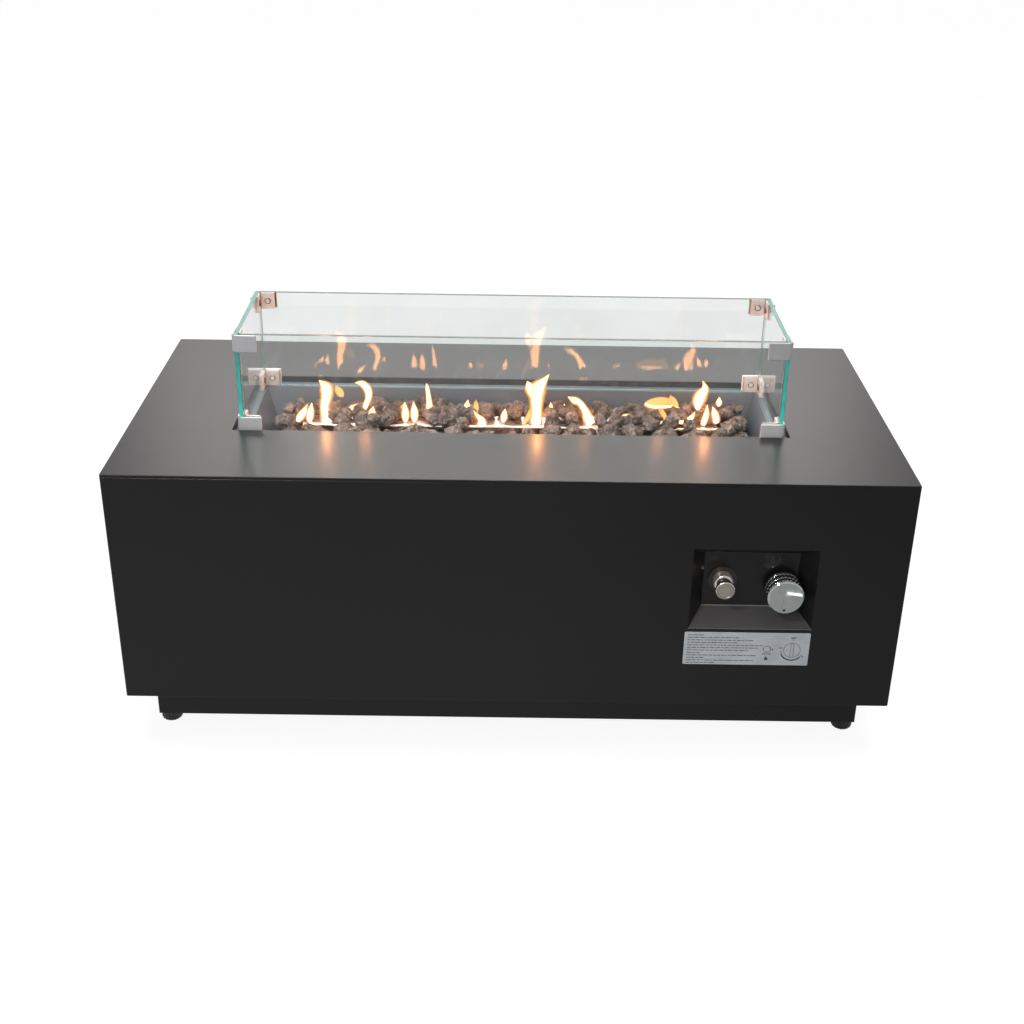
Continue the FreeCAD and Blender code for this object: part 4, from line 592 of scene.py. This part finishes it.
# Spark electrode, thermocouple and their leads. A glazed sleeve with a bent wire, a red silicone
# lead from the igniter and a copper capillary to the valve.
dress(moulded("white_ceramic", (0.8, 0.78, 0.72), 0.25), "spark_electrode")
dress(moulded("red_silicone", (0.42, 0.05, 0.03), 0.45), "spark_lead")
dress(metal("copper", (0.75, 0.4, 0.26), 0.3), "thermocouple_lead")

# Flames. Gas burning over the slots: bright yellow-white cores inside orange sheets that thin out
# at their tips. Each has its side of the burner and a path of x, height and half width in
# millimetres.
FLAMES = [
    (-1, [(-311, 394, 3), (-307, 401, 6), (-301, 410, 5), (-296, 421, 0)]),
    (-1, [(-294, 394, 3), (-293, 402, 6), (-291, 412, 5), (-289, 424, 0)]),
    (-1, [(-268, 395, 12), (-269, 402, 9), (-271, 418, 7), (-267, 436, 9), (-268, 449, 10), (-277, 459, 0)]),
    (1, [(-246, 424, 0), (-249, 429, 5), (-253, 436, 5), (-257, 443, 0)]),
    (1, [(-243, 399, 0), (-239, 402, 3.5), (-234, 408, 3.5), (-226, 414, 0)]),
    (1, [(-216, 399, 4), (-214, 410, 4), (-209, 424, 5), (-210, 437, 6.5), (-218, 446, 5.5), (-228, 447, 0)]),
    (-1, [(-203, 399, 5), (-203, 405, 7), (-202, 412, 5), (-200, 420, 0)]),
    (-1, [(-183, 411, 0), (-180, 406, 2.5), (-175, 399, 3)]),
    (-1, [(-154, 396, 3), (-154, 405, 6), (-154, 415, 5), (-155, 427, 0)]),
    (-1, [(-141, 396, 3), (-141, 405, 6), (-141, 415, 5.5), (-142, 428, 0)]),
    (1, [(-161, 402, 3), (-159, 409, 4), (-157, 417, 0)]),
    (1, [(-120, 396, 7), (-120, 406, 6), (-121, 424, 4), (-123, 440, 3), (-124, 448, 0)]),
    (1, [(-111, 397, 2), (-110, 402, 3), (-109, 408, 0)]),
    (1, [(-68, 397, 2), (-66, 406, 7), (-65, 414, 5), (-64, 423, 0)]),
    (1, [(-52, 402, 2), (-52, 412, 4), (-52, 425, 0)]),
    (-1, [(-43, 394, 8), (-43, 400, 6), (-49, 407, 3), (-55, 415, 0)]),
    (-1, [(-12, 398, 3), (-11, 405, 5.5), (-10, 412, 4), (-9, 419, 0)]),
    (-1, [(36, 396, 11), (36, 405, 9), (36, 421, 9), (36, 438, 11), (38, 452, 12), (46, 463, 6),
          (53, 473, 0)]),
    (-1, [(33, 436, 6), (28, 447, 8), (25, 455, 7), (22, 462, 0)]),
    (-1, [(17, 394, 2), (22, 402, 3), (28, 413, 4), (33, 424, 3)]),
    (1, [(59, 397, 5), (59, 405, 6), (58, 412, 4), (57, 421, 0)]),
    (1, [(78, 397, 4), (78, 404, 6), (78, 411, 4), (77, 419, 0)]),
    (-1, [(117, 398, 12), (111, 407, 8), (107, 417, 6), (99, 429, 5), (90, 434, 6), (81, 439, 0)]),
    (-1, [(159, 404, 0), (163, 407, 5), (167, 408, 6), (171, 408, 5), (175, 406, 0)]),
    (1, [(193, 418, 0), (199, 420, 5), (209, 423.5, 6.5), (221, 425, 6.5), (233, 424, 5), (243, 421, 1)]),
    (1, [(195, 421, 0), (199, 418, 2.5), (208, 416, 3), (222, 416, 2.5), (236, 417, 2.5), (246, 415, 0)]),
    (1, [(243, 415, 3), (238, 421, 5.5), (234, 428, 5), (231, 436, 0)]),
    (-1, [(226, 399, 0), (224, 407, 2.5), (220, 415, 3.5), (213, 424, 3)]),
    (-1, [(233, 405, 0), (243, 402, 3), (254, 403, 3.5), (262, 410, 4), (266, 418, 0)]),
    (1, [(273, 411, 2), (273, 424, 9), (276, 435, 10), (281, 446, 6), (277, 458, 0)]),
    (-1, [(279, 397, 4), (281, 406, 5), (283, 416, 4.5), (283, 430, 0)]),
    (-1, [(298, 401, 5), (297, 409, 6), (294, 418, 5), (291, 427, 0)]),
    (1, [(303, 418, 1), (303, 424, 5), (303, 433, 0)]),
]
PORT_ROW = 0.011
# Flames that have no white heart.
COOL_FLAMES = (3, 7, 10, 14, 19, 24, 26, 27)
RINGS_PER_LEG = 5
FLAME_SIDES = 14
FLAME_DEPTH = 0.62
LEAST_HALF_WIDTH = 0.4
TIP_HALF_WIDTH = 0.2


def between(before, first, second, after, share):
    """A place on the smooth curve through four values."""
    return 0.5 * (2 * first + (second - before) * share
                  + (2 * before - 5 * first + 4 * second - after) * share ** 2
                  + (3 * first - before - 3 * second + after) * share ** 3)


def flame_rings(path, thin):
    """Middle, half width and share of the way up for each ring along a flame."""
    last = len(path) - 1
    rings = []
    for leg in range(last):
        knots = [path[min(max(number, 0), last)] for number in (leg - 1, leg, leg + 1, leg + 2)]
        for step in range(RINGS_PER_LEG):
            x, z, half = (between(*values, step / RINGS_PER_LEG) for values in zip(*knots))
            rings.append((x, z, max(half, LEAST_HALF_WIDTH) * thin, (leg + step / RINGS_PER_LEG) / last))
    rings.append((*path[-1][:2], TIP_HALF_WIDTH * thin, 1.0))
    return rings


def flame_mesh(name, thin, lift, material, left_out):
    """The flames as closed skins round their paths, with the way up kept as an attribute."""
    corners = []
    faces = []
    ways = []
    for row, path in [flame for count, flame in enumerate(FLAMES) if count not in left_out]:
        rings = flame_rings(path, thin)
        first = len(corners)
        for number, (x, z, half, way) in enumerate(rings):
            before = rings[max(number - 1, 0)]
            after = rings[min(number + 1, len(rings) - 1)]
            along = Vector((after[0] - before[0], 0, after[1] - before[1])).normalized()
            across = Vector((along.z, 0, -along.x))
            middle = Vector((x, row * 1000 * PORT_ROW, z + lift * (1 - way)))
            for side in range(FLAME_SIDES):
                angle = 2 * math.pi * side / FLAME_SIDES
                corners.append((middle + across * (half * math.cos(angle))
                                + Vector((0, FLAME_DEPTH * half * math.sin(angle), 0))) / 1000)
                ways.append(way)
        for number in range(len(rings) - 1):
            for side in range(FLAME_SIDES):
                low = first + number * FLAME_SIDES
                high = low + FLAME_SIDES
                following = (side + 1) % FLAME_SIDES
                faces.append((low + side, low + following, high + following, high + side))
        faces.append([first + side for side in reversed(range(FLAME_SIDES))])
        faces.append([first + (len(rings) - 1) * FLAME_SIDES + side for side in range(FLAME_SIDES)])
    mesh = bpy.data.meshes.new(name)
    mesh.from_pydata(corners, [], faces)
    mesh.attributes.new("way_up", "FLOAT", "POINT").data.foreach_set("value", ways)
    work = bmesh.new()
    work.from_mesh(mesh)
    bmesh.ops.recalc_face_normals(work, faces=work.faces)
    work.to_mesh(mesh)
    work.free()
    shade_faces(mesh)
    mesh.materials.append(material)
    return mesh


def burning(name, strength, colours, clearness):
    """A glowing gas whose colour and clearness change on the way up."""
    made, tree = new_tree(name)
    way = add_node(tree, "ShaderNodeAttribute", attribute_name="way_up").outputs["Fac"]
    show(tree, add_node(tree, "ShaderNodeBsdfPrincipled", Base_Color=(0, 0, 0, 1), Roughness=1.0,
                        Specular_IOR_Level=0.0, Emission_Color=colour_ramp(tree, way, *colours),
                        Emission_Strength=strength,
                        Alpha=colour_ramp(tree, way, *((at, (value,) * 3) for at, value in clearness))))
    return made


FLAME_SKINS = (
    ("flame_fringe", 1.12, 1.3, (1.0, 0.36, 0.10), (1.0, 0.30, 0.07), 0.3, 1.0),
    ("flame_sheet", 0.9, 2.6, (1.0, 0.50, 0.17), (1.0, 0.42, 0.12), 0.5, 0.95),
    ("flame_heart", 0.62, 33.0, (1.0, 0.44, 0.15), (1.0, 0.40, 0.125), 0.88, 0.85),
)
for name, thin, strength, low_colour, high_colour, solid, reach in FLAME_SKINS:
    glow = [(0.0, (1.0, 0.4, 0.3)), (0.25, low_colour), (1.0, high_colour)]
    clearness = [(0.0, 0.1 * solid), (0.18 * reach, solid), (0.7 * reach, solid), (reach, 0.12 * solid)]
    gas = burning(name, strength, glow, clearness)
    left_out = COOL_FLAMES if name == "flame_heart" else ()
    skin = put_in_place(name + "s", flame_mesh(name + "s", thin, 2.0 * (1 - thin), gas, left_out), "table")
    skin.visible_shadow = False

GLOW_HEIGHT = 0.08
FIRE_GLOW = ((-0.270, 0.115), (-0.214, 0.045), (0.038, 0.13), (0.108, 0.02), (0.215, 0.03), (0.283, 0.12))
for x, watts in FIRE_GLOW:
    data = bpy.data.lights.new("fire_glow", "POINT")
    data.energy = watts
    data.color = (1, 0.33, 0.11)
    data.shadow_soft_size = 0
    glow_lamp = add_object("fire_glow", data)
    glow_lamp.location = (x, -PORT_ROW, BURNER_TOP + GLOW_HEIGHT)
    glow_lamp.visible_camera = False
    glow_lamp.visible_transmission = False

# Wind guard. Four panes of toughened glass whose ground edges show green, held at the corners by
# satin aluminium angles outside and clamp plates inside.
pane_clear, tree = new_tree("guard_glass")
smudge = add_node(tree, "ShaderNodeTexNoise", Vector=object_place(tree), Scale=14.0, Detail=4.0)
film = colour_ramp(tree, smudge.outputs["Fac"], (0.35, (0.94, 0.965, 0.957)), (0.75, (0.88, 0.912, 0.905)))
surface = add_node(tree, "ShaderNodeBsdfPrincipled", Base_Color=film, Roughness=0.0, IOR=1.5,
                   Transmission_Weight=1.0)
through = add_node(tree, "ShaderNodeBsdfTransparent", Color=(0.93, 0.97, 0.96, 1))
in_shadow = tree.nodes.new("ShaderNodeLightPath").outputs["Is Shadow Ray"]
mixed = add_node(tree, "ShaderNodeMixShader", Fac=in_shadow)
tree.links.new(surface.outputs[0], mixed.inputs[1])
tree.links.new(through.outputs[0], mixed.inputs[2])
show(tree, mixed)
GUARD_MIDDLE = (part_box("glass_left")[0].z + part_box("glass_left")[1].z) / 2


def ground_edge(name, deep_green, pale_green, clear=0.35, painted_glow=0.0, painted_paling=0.0):
    """A ground edge, deep green from the glass behind it; painted_paling makes it paler lower down and
    painted_glow makes it glow, both as painted light.
    """
    made, tree = new_tree(name)
    place = object_place(tree)
    depth = add_node(tree, "ShaderNodeTexNoise", Vector=place, Scale=55.0, Detail=3.0)
    height = add_node(tree, "ShaderNodeSeparateXYZ", Vector=place).outputs["Z"]
    down = math_node(tree, "MULTIPLY", math_node(tree, "SUBTRACT", GUARD_MIDDLE, height), painted_paling)
    tint = colour_ramp(tree, math_node(tree, "ADD", depth.outputs["Fac"], down),
                       (0, deep_green), (1, pale_green))
    show(tree, add_node(tree, "ShaderNodeBsdfPrincipled", Base_Color=tint, Roughness=0.3, IOR=1.5,
                        Transmission_Weight=clear, Emission_Color=tint, Emission_Strength=painted_glow))
    return made


# The edge tints differ by which way each edge faces, partly the glass's own green and partly painted light
# and shade: the edges that face the front are palest and glow, the long panes' top edges darkest.
long_edge = ground_edge("long_glass_edge", (0.035, 0.07, 0.065), (0.12, 0.2, 0.185))
short_edge = ground_edge("short_glass_edge", (0.03, 0.3, 0.24), (0.09, 0.55, 0.44))
front_edge_painted_light = ground_edge("front_glass_edge_painted_light", (0.06, 0.4, 0.34), (0.09, 1.0, 0.86), 0.1, 0.17, 7.0)
lower_edge = ground_edge("lower_glass_edge", (0.12, 0.32, 0.29), (0.24, 0.5, 0.46))
far_edge = ground_edge("far_glass_edge", (0.1, 0.34, 0.3), (0.2, 0.5, 0.45), 0.6)
for name, thin_axis, level_edge in (("glass_front", 1, long_edge), ("glass_back", 1, long_edge),
                                    ("glass_left", 0, short_edge), ("glass_right", 0, short_edge)):
    pane = softened(name, 0.0004, pane_clear, 1)
    for edge in (level_edge, lower_edge, front_edge_painted_light, far_edge):
        pane.data.materials.append(edge)
    for face in pane.data.polygons:
        facing = face.normal
        if abs(facing[thin_axis]) < 0.5:
            level = 1 if facing.z > 0.5 else 2
            upright = 3 if facing.y < -0.5 else 4
            face.material_index = level if abs(facing.z) > 0.5 else upright


def satin(name, colour, roughness, stained, metallic):
    """Aluminium with the short upright brush lines of the guard's fixings."""
    return metal(name, colour, roughness, (500, 500, 90), 0.2, stained, metallic=metallic)


# The lower angles are painted a lighter, nearly white aluminium and the upper ones a darker one, as painted
# light and shade on the same cast angles.
softened("guard_brackets_bottom", 0.0009, satin("satin_painted_light", (0.96, 0.96, 0.97), 0.45, 0.08, 0.05), 3)
softened("guard_brackets_top", 0.0009, satin("satin_painted_shade", (0.63, 0.63, 0.645), 0.5, 0.2, 0.6), 3)
softened("guard_clamps", 0.0004, satin("satin_aluminium", (0.74, 0.70, 0.68), 0.5, 0.15, 0.6))


# Guard screws. Pan heads with a hexagon socket, driven from inside through clamp and glass into
# the angles. The shares are of the head's height and radius.
SKIRT_HEIGHT, SOCKET_FLOOR, DOME_TOP, SOCKET_RADIUS = 0.55, 0.45, 0.66, 0.42
FLANK_BELOW = 0.93


def screw_tree():
    """Turns points that know which way they face into pan-head screws."""
    tree, start, end = new_group(
        "pan_head_screws",
        {"Geometry": (GEOMETRY, None), "Head Radius": (NUMBER, 0.0045), "Head Height": (NUMBER, 0.0026),
         "Shank Radius": (NUMBER, 0.002), "Shank Length": (NUMBER, 0.010), "Face Material": (MATERIAL, None),
         "Flank Material": (MATERIAL, None)}, {"Geometry": GEOMETRY}, "GeometryNodeTree")

    def share(whole, amount):
        return math_node(tree, "MULTIPLY", whole, amount)

    def turned(vertices, top, bottom, length):
        return add_node(tree, "GeometryNodeMeshCone", Vertices=vertices, Radius_Top=top, Radius_Bottom=bottom,
                        Depth=length).outputs["Mesh"]

    def lifted(mesh, height):
        offset = add_node(tree, "ShaderNodeCombineXYZ", Z=height)
        moved = add_node(tree, "GeometryNodeTransform", Geometry=mesh, Translation=offset.outputs[0])
        return moved.outputs[0]

    radius, height, shank_radius, shank_length = (
        start.outputs[label] for label in ("Head Radius", "Head Height", "Shank Radius", "Shank Length"))
    low = share(height, SKIRT_HEIGHT)
    socket_radius = share(radius, SOCKET_RADIUS)
    skirt = turned(24, radius, radius, low)
    dome = turned(24, share(radius, DOME_TOP), radius, math_node(tree, "SUBTRACT", height, low))
    socket = turned(6, socket_radius, socket_radius, height)
    shank = turned(12, shank_radius, shank_radius, shank_length)
    body = add_node(tree, "GeometryNodeMeshBoolean", operation="UNION")
    for part in (skirt, lifted(dome, low)):
        tree.links.new(part, body.inputs["Mesh 2"])
    head = add_node(tree, "GeometryNodeMeshBoolean", operation="DIFFERENCE", Mesh_1=body.outputs[0],
                    Mesh_2=lifted(socket, share(height, SOCKET_FLOOR)))
    both = tree.nodes.new("GeometryNodeJoinGeometry")
    for part in (head.outputs[0], lifted(shank, share(shank_length, -1.0))):
        tree.links.new(part, both.inputs[0])
    normal = tree.nodes.new("GeometryNodeInputNormal").outputs[0]
    upward = add_node(tree, "ShaderNodeSeparateXYZ", Vector=normal).outputs["Z"]
    marked = add_node(tree, "GeometryNodeStoreNamedAttribute", data_type="BOOLEAN", domain="FACE",
                      Geometry=both.outputs[0], Name="flank",
                      Value=math_node(tree, "LESS_THAN", upward, FLANK_BELOW))
    aligned = add_node(tree, "FunctionNodeAlignRotationToVector", axis="Z",
                       Vector=named_values(tree, "facing"))
    points = add_node(tree, "GeometryNodeMeshToPoints", Mesh=start.outputs["Geometry"])
    placed = add_node(tree, "GeometryNodeInstanceOnPoints", Points=points.outputs[0],
                      Instance=marked.outputs[0], Rotation=aligned.outputs[0])
    realized = add_node(tree, "GeometryNodeRealizeInstances", Geometry=placed.outputs[0])
    faces = add_node(tree, "GeometryNodeSetMaterial", Geometry=realized.outputs[0],
                     Material=start.outputs["Face Material"])
    flanks = add_node(tree, "GeometryNodeSetMaterial", Geometry=faces.outputs[0],
                      Selection=named_values(tree, "flank", "BOOLEAN"),
                      Material=start.outputs["Flank Material"])
    tree.links.new(flanks.outputs[0], end.inputs["Geometry"])
    return tree


screw_places = []
screw_faces = []
clamp_low, clamp_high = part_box("guard_clamps")
SCREW_FROM_CLAMP_TOP = 0.01225
SCREW_FROM_CLAMP_END = 0.0125
CLAMP_WALL = 0.002
for deep in (-1, 1):
    for across in (-1, 1):
        for level in (clamp_low.z + SCREW_FROM_CLAMP_TOP, clamp_high.z - SCREW_FROM_CLAMP_TOP):
            screw_places += [(across * (clamp_high.x - SCREW_FROM_CLAMP_END),
                              deep * (clamp_high.y - CLAMP_WALL), level),
                             (across * (clamp_high.x - CLAMP_WALL),
                              deep * (clamp_high.y - SCREW_FROM_CLAMP_END), level)]
            screw_faces += [(0, -deep, 0), (-across, 0, 0)]
bright_steel = metal("bright_screw_steel", (0.97, 0.96, 0.94), 0.4, stained=0.1, metallic=0.3)
# The heads' flanks are painted dark, as painted shade round their bright faces.
flank_painted_shade = metal("screw_flanks_painted_shade", (0.16, 0.145, 0.14), 0.4, stained=0.15)
screw_mesh = grown("guard_screw_heads", points_mesh("screw_points", screw_places, facing=screw_faces),
                   screw_tree(), **{"Face Material": bright_steel, "Flank Material": flank_painted_shade})
put_in_place("guard_screw_heads", screw_mesh, "guard", "guard_screws")
dress(bright_steel, "valve_spindle", "spring_washer")

# Control niche. A pan with sloping sides behind the window in the front, in the charcoal coat;
# its floor is painted lighter as painted light, with a painted highlight along its rear fold.
niche = softened("control_niche", 0.0006, charcoal)
niche_low, niche_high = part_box("control_niche")
FOLD_BEHIND = 0.0017
FOLD_BLEND = 0.002
FLOOR_BELOW = 0.04
niche_floor_painted_light = coated("charcoal_painted_light", (0.073, 0.067, 0.067), 0.55, cloud=0.5)
tree = niche_floor_painted_light.node_tree
axes = add_node(tree, "ShaderNodeSeparateXYZ", Vector=object_place(tree))
# A band at the floor's rear fold is painted pale, as a painted highlight.
fold_painted_highlight = add_node(tree, "ShaderNodeMapRange", Value=axes.outputs["Y"],
                   From_Min=niche_high.y - FOLD_BEHIND - FOLD_BLEND, From_Max=niche_high.y - FOLD_BEHIND)
surface = next(node for node in tree.nodes if node.type == "BSDF_PRINCIPLED")
painted_light_blend = add_node(tree, "ShaderNodeMix", data_type="RGBA", Factor=fold_painted_highlight.outputs["Result"],
                   A=surface.inputs["Base Color"].links[0].from_socket, B=(0.34, 0.32, 0.32, 1))
tree.links.new(painted_light_blend.outputs["Result"], surface.inputs["Base Color"])
niche.data.materials.append(niche_floor_painted_light)
for face in niche.data.polygons:
    if face.normal.z > 0.5 and face.center.z < niche_low.z + FLOOR_BELOW:
        face.material_index = 1

# Instruction plate. A thin satin plate bonded under the niche, printed with plain rules, a button
# and a dial.
plate_satin = metal("plate_satin", (0.56, 0.59, 0.62), 0.5, (60, 60, 900), 0.2, 0.3)
softened("instruction_plate", 0.0002, plate_satin, 1)
plate_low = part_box("instruction_plate")[0]
plate_ink = moulded("plate_ink", (0.10, 0.105, 0.115), 0.6)
work = bmesh.new()
INK = 0.00008
ARC_STEP = 9


def thin_shape(work, outline, thickness):
    """A thin upright plate in front of an outline."""
    back = [work.verts.new(place) for place in outline]
    front = [work.verts.new(place - Vector((0, thickness, 0))) for place in outline]
    count = len(outline)
    work.faces.new(front)
    work.faces.new(reversed(back))
    for number in range(count):
        following = (number + 1) % count
        work.faces.new((back[number], back[following], front[following], front[number]))


def ink_shape(corners):
    """A printed shape on the plate's face, from corners in millimetres from its lower left."""
    outline = [Vector((plate_low.x + x / 1000, plate_low.y, plate_low.z + z / 1000)) for x, z in corners]
    thin_shape(work, outline, INK)


def ink_rules(*rules):
    """Printed bars, each from its lower left corner, length and height."""
    for x, z, length, height in rules:
        ink_shape([(x, z), (x + length, z), (x + length, z + height), (x, z + height)])


def ink_arc(middle, radius, width, start, end):
    """Part of a ring, with its angles in degrees."""
    steps = int((end - start) / ARC_STEP)
    for step in range(steps):
        rays = [math.radians(start + (end - start) * (step + share) / steps) for share in (0, 1)]
        inner, outer = ([(middle[0] + reach * math.cos(ray), middle[1] + reach * math.sin(ray))
                         for ray in rays] for reach in (radius, radius + width))
        ink_shape([inner[0], outer[0], outer[1], inner[1]])


words = random.Random(5)
PRINT_LEFT, PRINT_TOP, PRINT_PITCH, PRINT_HEIGHT, WORD_GAP = 4.6, 47.0, 4.05, 1.0, 1.3
for row, length in enumerate((18, 66, 86, 68, 101, 99, 82, 18, 96, 22, 91, 31)):
    x = PRINT_LEFT
    while x < PRINT_LEFT + length:
        word = words.uniform(2.5, 8.0)
        ink_rules((x, PRINT_TOP - row * PRINT_PITCH, word, PRINT_HEIGHT))
        x += word + WORD_GAP
BUTTON_MARK = (115, 26)
DIAL_MARK = (149.5, 24.6)
ink_arc(BUTTON_MARK, 4.6, 0.8, 0, 360)
ink_shape([(121.8, 23.9), (121.8, 27.1), (124.4, 25.5)])
ink_rules((109, 17.6, 5, 1.2), (115, 17.6, 6, 1.2))
ink_shape([(112.6, 8), (116.6, 8), (117.2, 10.6), (114.6, 14.4), (112, 10.6)])
ink_arc(DIAL_MARK, 11.2, 0.6, 0, 360)
ink_arc(DIAL_MARK, 15.0, 0.8, 188, 332)
ink_arc(DIAL_MARK, 15.8, 1.2, 205, 315)
ink_rules((147.1, 14.2, 0.6, 20.8), (151.3, 14.2, 0.6, 20.8), (147.1, 34.4, 4.8, 0.6),
          (146.5, 43.6, 7, 1.6), (149.2, 40, 0.8, 3), (131.4, 27.4, 4.6, 1.3))
ink_shape([(163.4, 12.4), (166.4, 15), (164.6, 16.2)])
bmesh.ops.recalc_face_normals(work, faces=work.faces)
print_mesh = plain_mesh(work, "plate_print", plate_ink)
shade_faces(print_mesh, smooth=False)
put_in_place("plate_print", print_mesh, "table")

# Gas knob. Hollow plated moulding on the valve's spindle, with three rows of rounded lobes as its
# grip and a pointer groove; a dark ring hides the nut behind it.
chrome = metal("bright_chrome", (0.47, 0.51, 0.5), 0.035, (420, 420, 36), 0.02, 0.4, 0.000003)
softened("knob", 0.0004, chrome)
sparkle = soft_lamp("knob_sparkle", (0.4846, -0.701, 0.01), (0.026, 0.0045), 0.0008, aim=KNOB_FACE)
sparkle.visible_diffuse = False
knob_low, knob_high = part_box("knob")
knob_x = (knob_low.x + knob_high.x) / 2
knob_z = (knob_low.z + knob_high.z) / 2
GROOVE_DEPTH = 0.0008
MARK_THICKNESS = 0.0002
MARK_CORNERS = ((-0.0030, -0.0172), (0.0006, -0.0172), (0.0011, -0.0187), (-0.0008, -0.0214),
                (-0.0028, -0.0198))
work = bmesh.new()
mark_back = [Vector((knob_x + x, knob_low.y + GROOVE_DEPTH, knob_z + z)) for x, z in MARK_CORNERS]
thin_shape(work, mark_back, MARK_THICKNESS)
bmesh.ops.recalc_face_normals(work, faces=work.faces)
mark_red = moulded("mark_red", (0.07, 0.012, 0.01), 0.5)
put_in_place("knob_mark", plain_mesh(work, "knob_mark", mark_red), "knob")

GRIP_LOBES = 28
STEPS_PER_LOBE = 8
NOSE_STEPS = 6
GRIP_CORE, GRIP_INSIDE, LOBE_HEIGHT, LOBE_NOSE, LOBE_TAIL = 0.0235, 0.0230, 0.0014, 0.002, 0.001
LOBE_FULLNESS = 0.8
VALLEY = 0.25
grip_rows = []
for start, length, rise in ((0.0058, 0.0072, 1.0), (0.0148, 0.0078, 1.0), (0.0245, 0.0053, 0.8)):
    turns = [math.radians(90 * step / NOSE_STEPS) for step in range(NOSE_STEPS + 1)]
    grip_rows += [(start + LOBE_NOSE * (1 - math.cos(turn)), LOBE_HEIGHT * rise * math.sin(turn))
                  for turn in turns]
    grip_rows += [(start + length + LOBE_TAIL * math.sin(turn), LOBE_HEIGHT * rise * math.cos(turn))
                  for turn in turns[::2]]
work = bmesh.new()
rings = []
around = GRIP_LOBES * STEPS_PER_LOBE
for distance, height in grip_rows + [(grip_rows[-1][0], None), (grip_rows[0][0], None)]:
    ring = []
    for step in range(around):
        angle = 2 * math.pi * step / around
        lobe = (0.5 + 0.5 * math.cos(GRIP_LOBES * angle)) ** LOBE_FULLNESS
        radius = GRIP_INSIDE if height is None else GRIP_CORE + height * (VALLEY + (1 - VALLEY) * lobe)
        ring.append(work.verts.new((knob_x + radius * math.sin(angle), knob_low.y + distance,
                                    knob_z + radius * math.cos(angle))))
    rings.append(ring)
for number, ring in enumerate(rings):
    following = rings[(number + 1) % len(rings)]
    for step in range(around):
        after = (step + 1) % around
        work.faces.new((ring[step], ring[after], following[after], following[step]))
bmesh.ops.recalc_face_normals(work, faces=work.faces)
put_in_place("knob_grip", plain_mesh(work, "knob_grip", chrome), "knob")
black_plastic = moulded("black_plastic", (0.014, 0.014, 0.015), 0.38)
softened("valve_bezel", 0.0003, black_plastic)
spring_steel = metal("spring_steel", (0.5, 0.49, 0.47), 0.3)


def coil_spring(node):
    """A coil spring in spring steel, with a mesh of its own."""
    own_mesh(joined_copy(node, spring_steel))


coil_spring("knob_spring")

# Igniter. A plated cap in a plated collar over a dark washer; behind the niche its moulded tube
# holds one cell and a nut clamps it.
warm_nickel = metal("warm_nickel", (0.62, 0.57, 0.49), 0.22, (200, 200, 200), 0.08, 0.15, 0.000006)
button = softened("igniter_button", 0.0003, warm_nickel)
# Inside the dish, the sloping faces are painted dark and the flat face darker than the rim, as painted shade
# in the recess.
button.data.materials.append(metal("nickel_painted_crease_shade", (0.2, 0.18, 0.16), 0.4))
button.data.materials.append(metal("nickel_painted_dish_shade", (0.42, 0.385, 0.33), 0.25, stained=0.5))
button_low, button_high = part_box("igniter_button")
DISH_DEPTH = 0.0009
DISH_RADIUS = 0.0108
for face in button.data.polygons:
    beside = math.hypot(face.center.x - (button_low.x + button_high.x) / 2,
                        face.center.z - (button_low.z + button_high.z) / 2)
    if face.center.y < button_low.y + DISH_DEPTH and beside < DISH_RADIUS:
        face.material_index = 1 if face.normal.y > -0.95 else 2
polished_nickel = metal("polished_nickel", (1.0, 0.9, 0.8), 0.15, spread=0.05, stained=0.1, metallic=0.65)
softened("igniter_collar", 0.0009, polished_nickel, 3)
softened("igniter_washer", 0.0003, black_plastic)
dress(black_plastic, "igniter_body", "igniter_nut", "igniter_plunger")
dress(moulded("battery_sleeve", (0.1, 0.1, 0.11), 0.35), "igniter_battery")
coil_spring("igniter_spring")

# Gas tubes. Bent aluminium tube from the inlet to the valve and on to the jet.
dress(metal("tube_aluminium", (0.62, 0.63, 0.65), 0.35), "gas_tube", "inlet_tube")
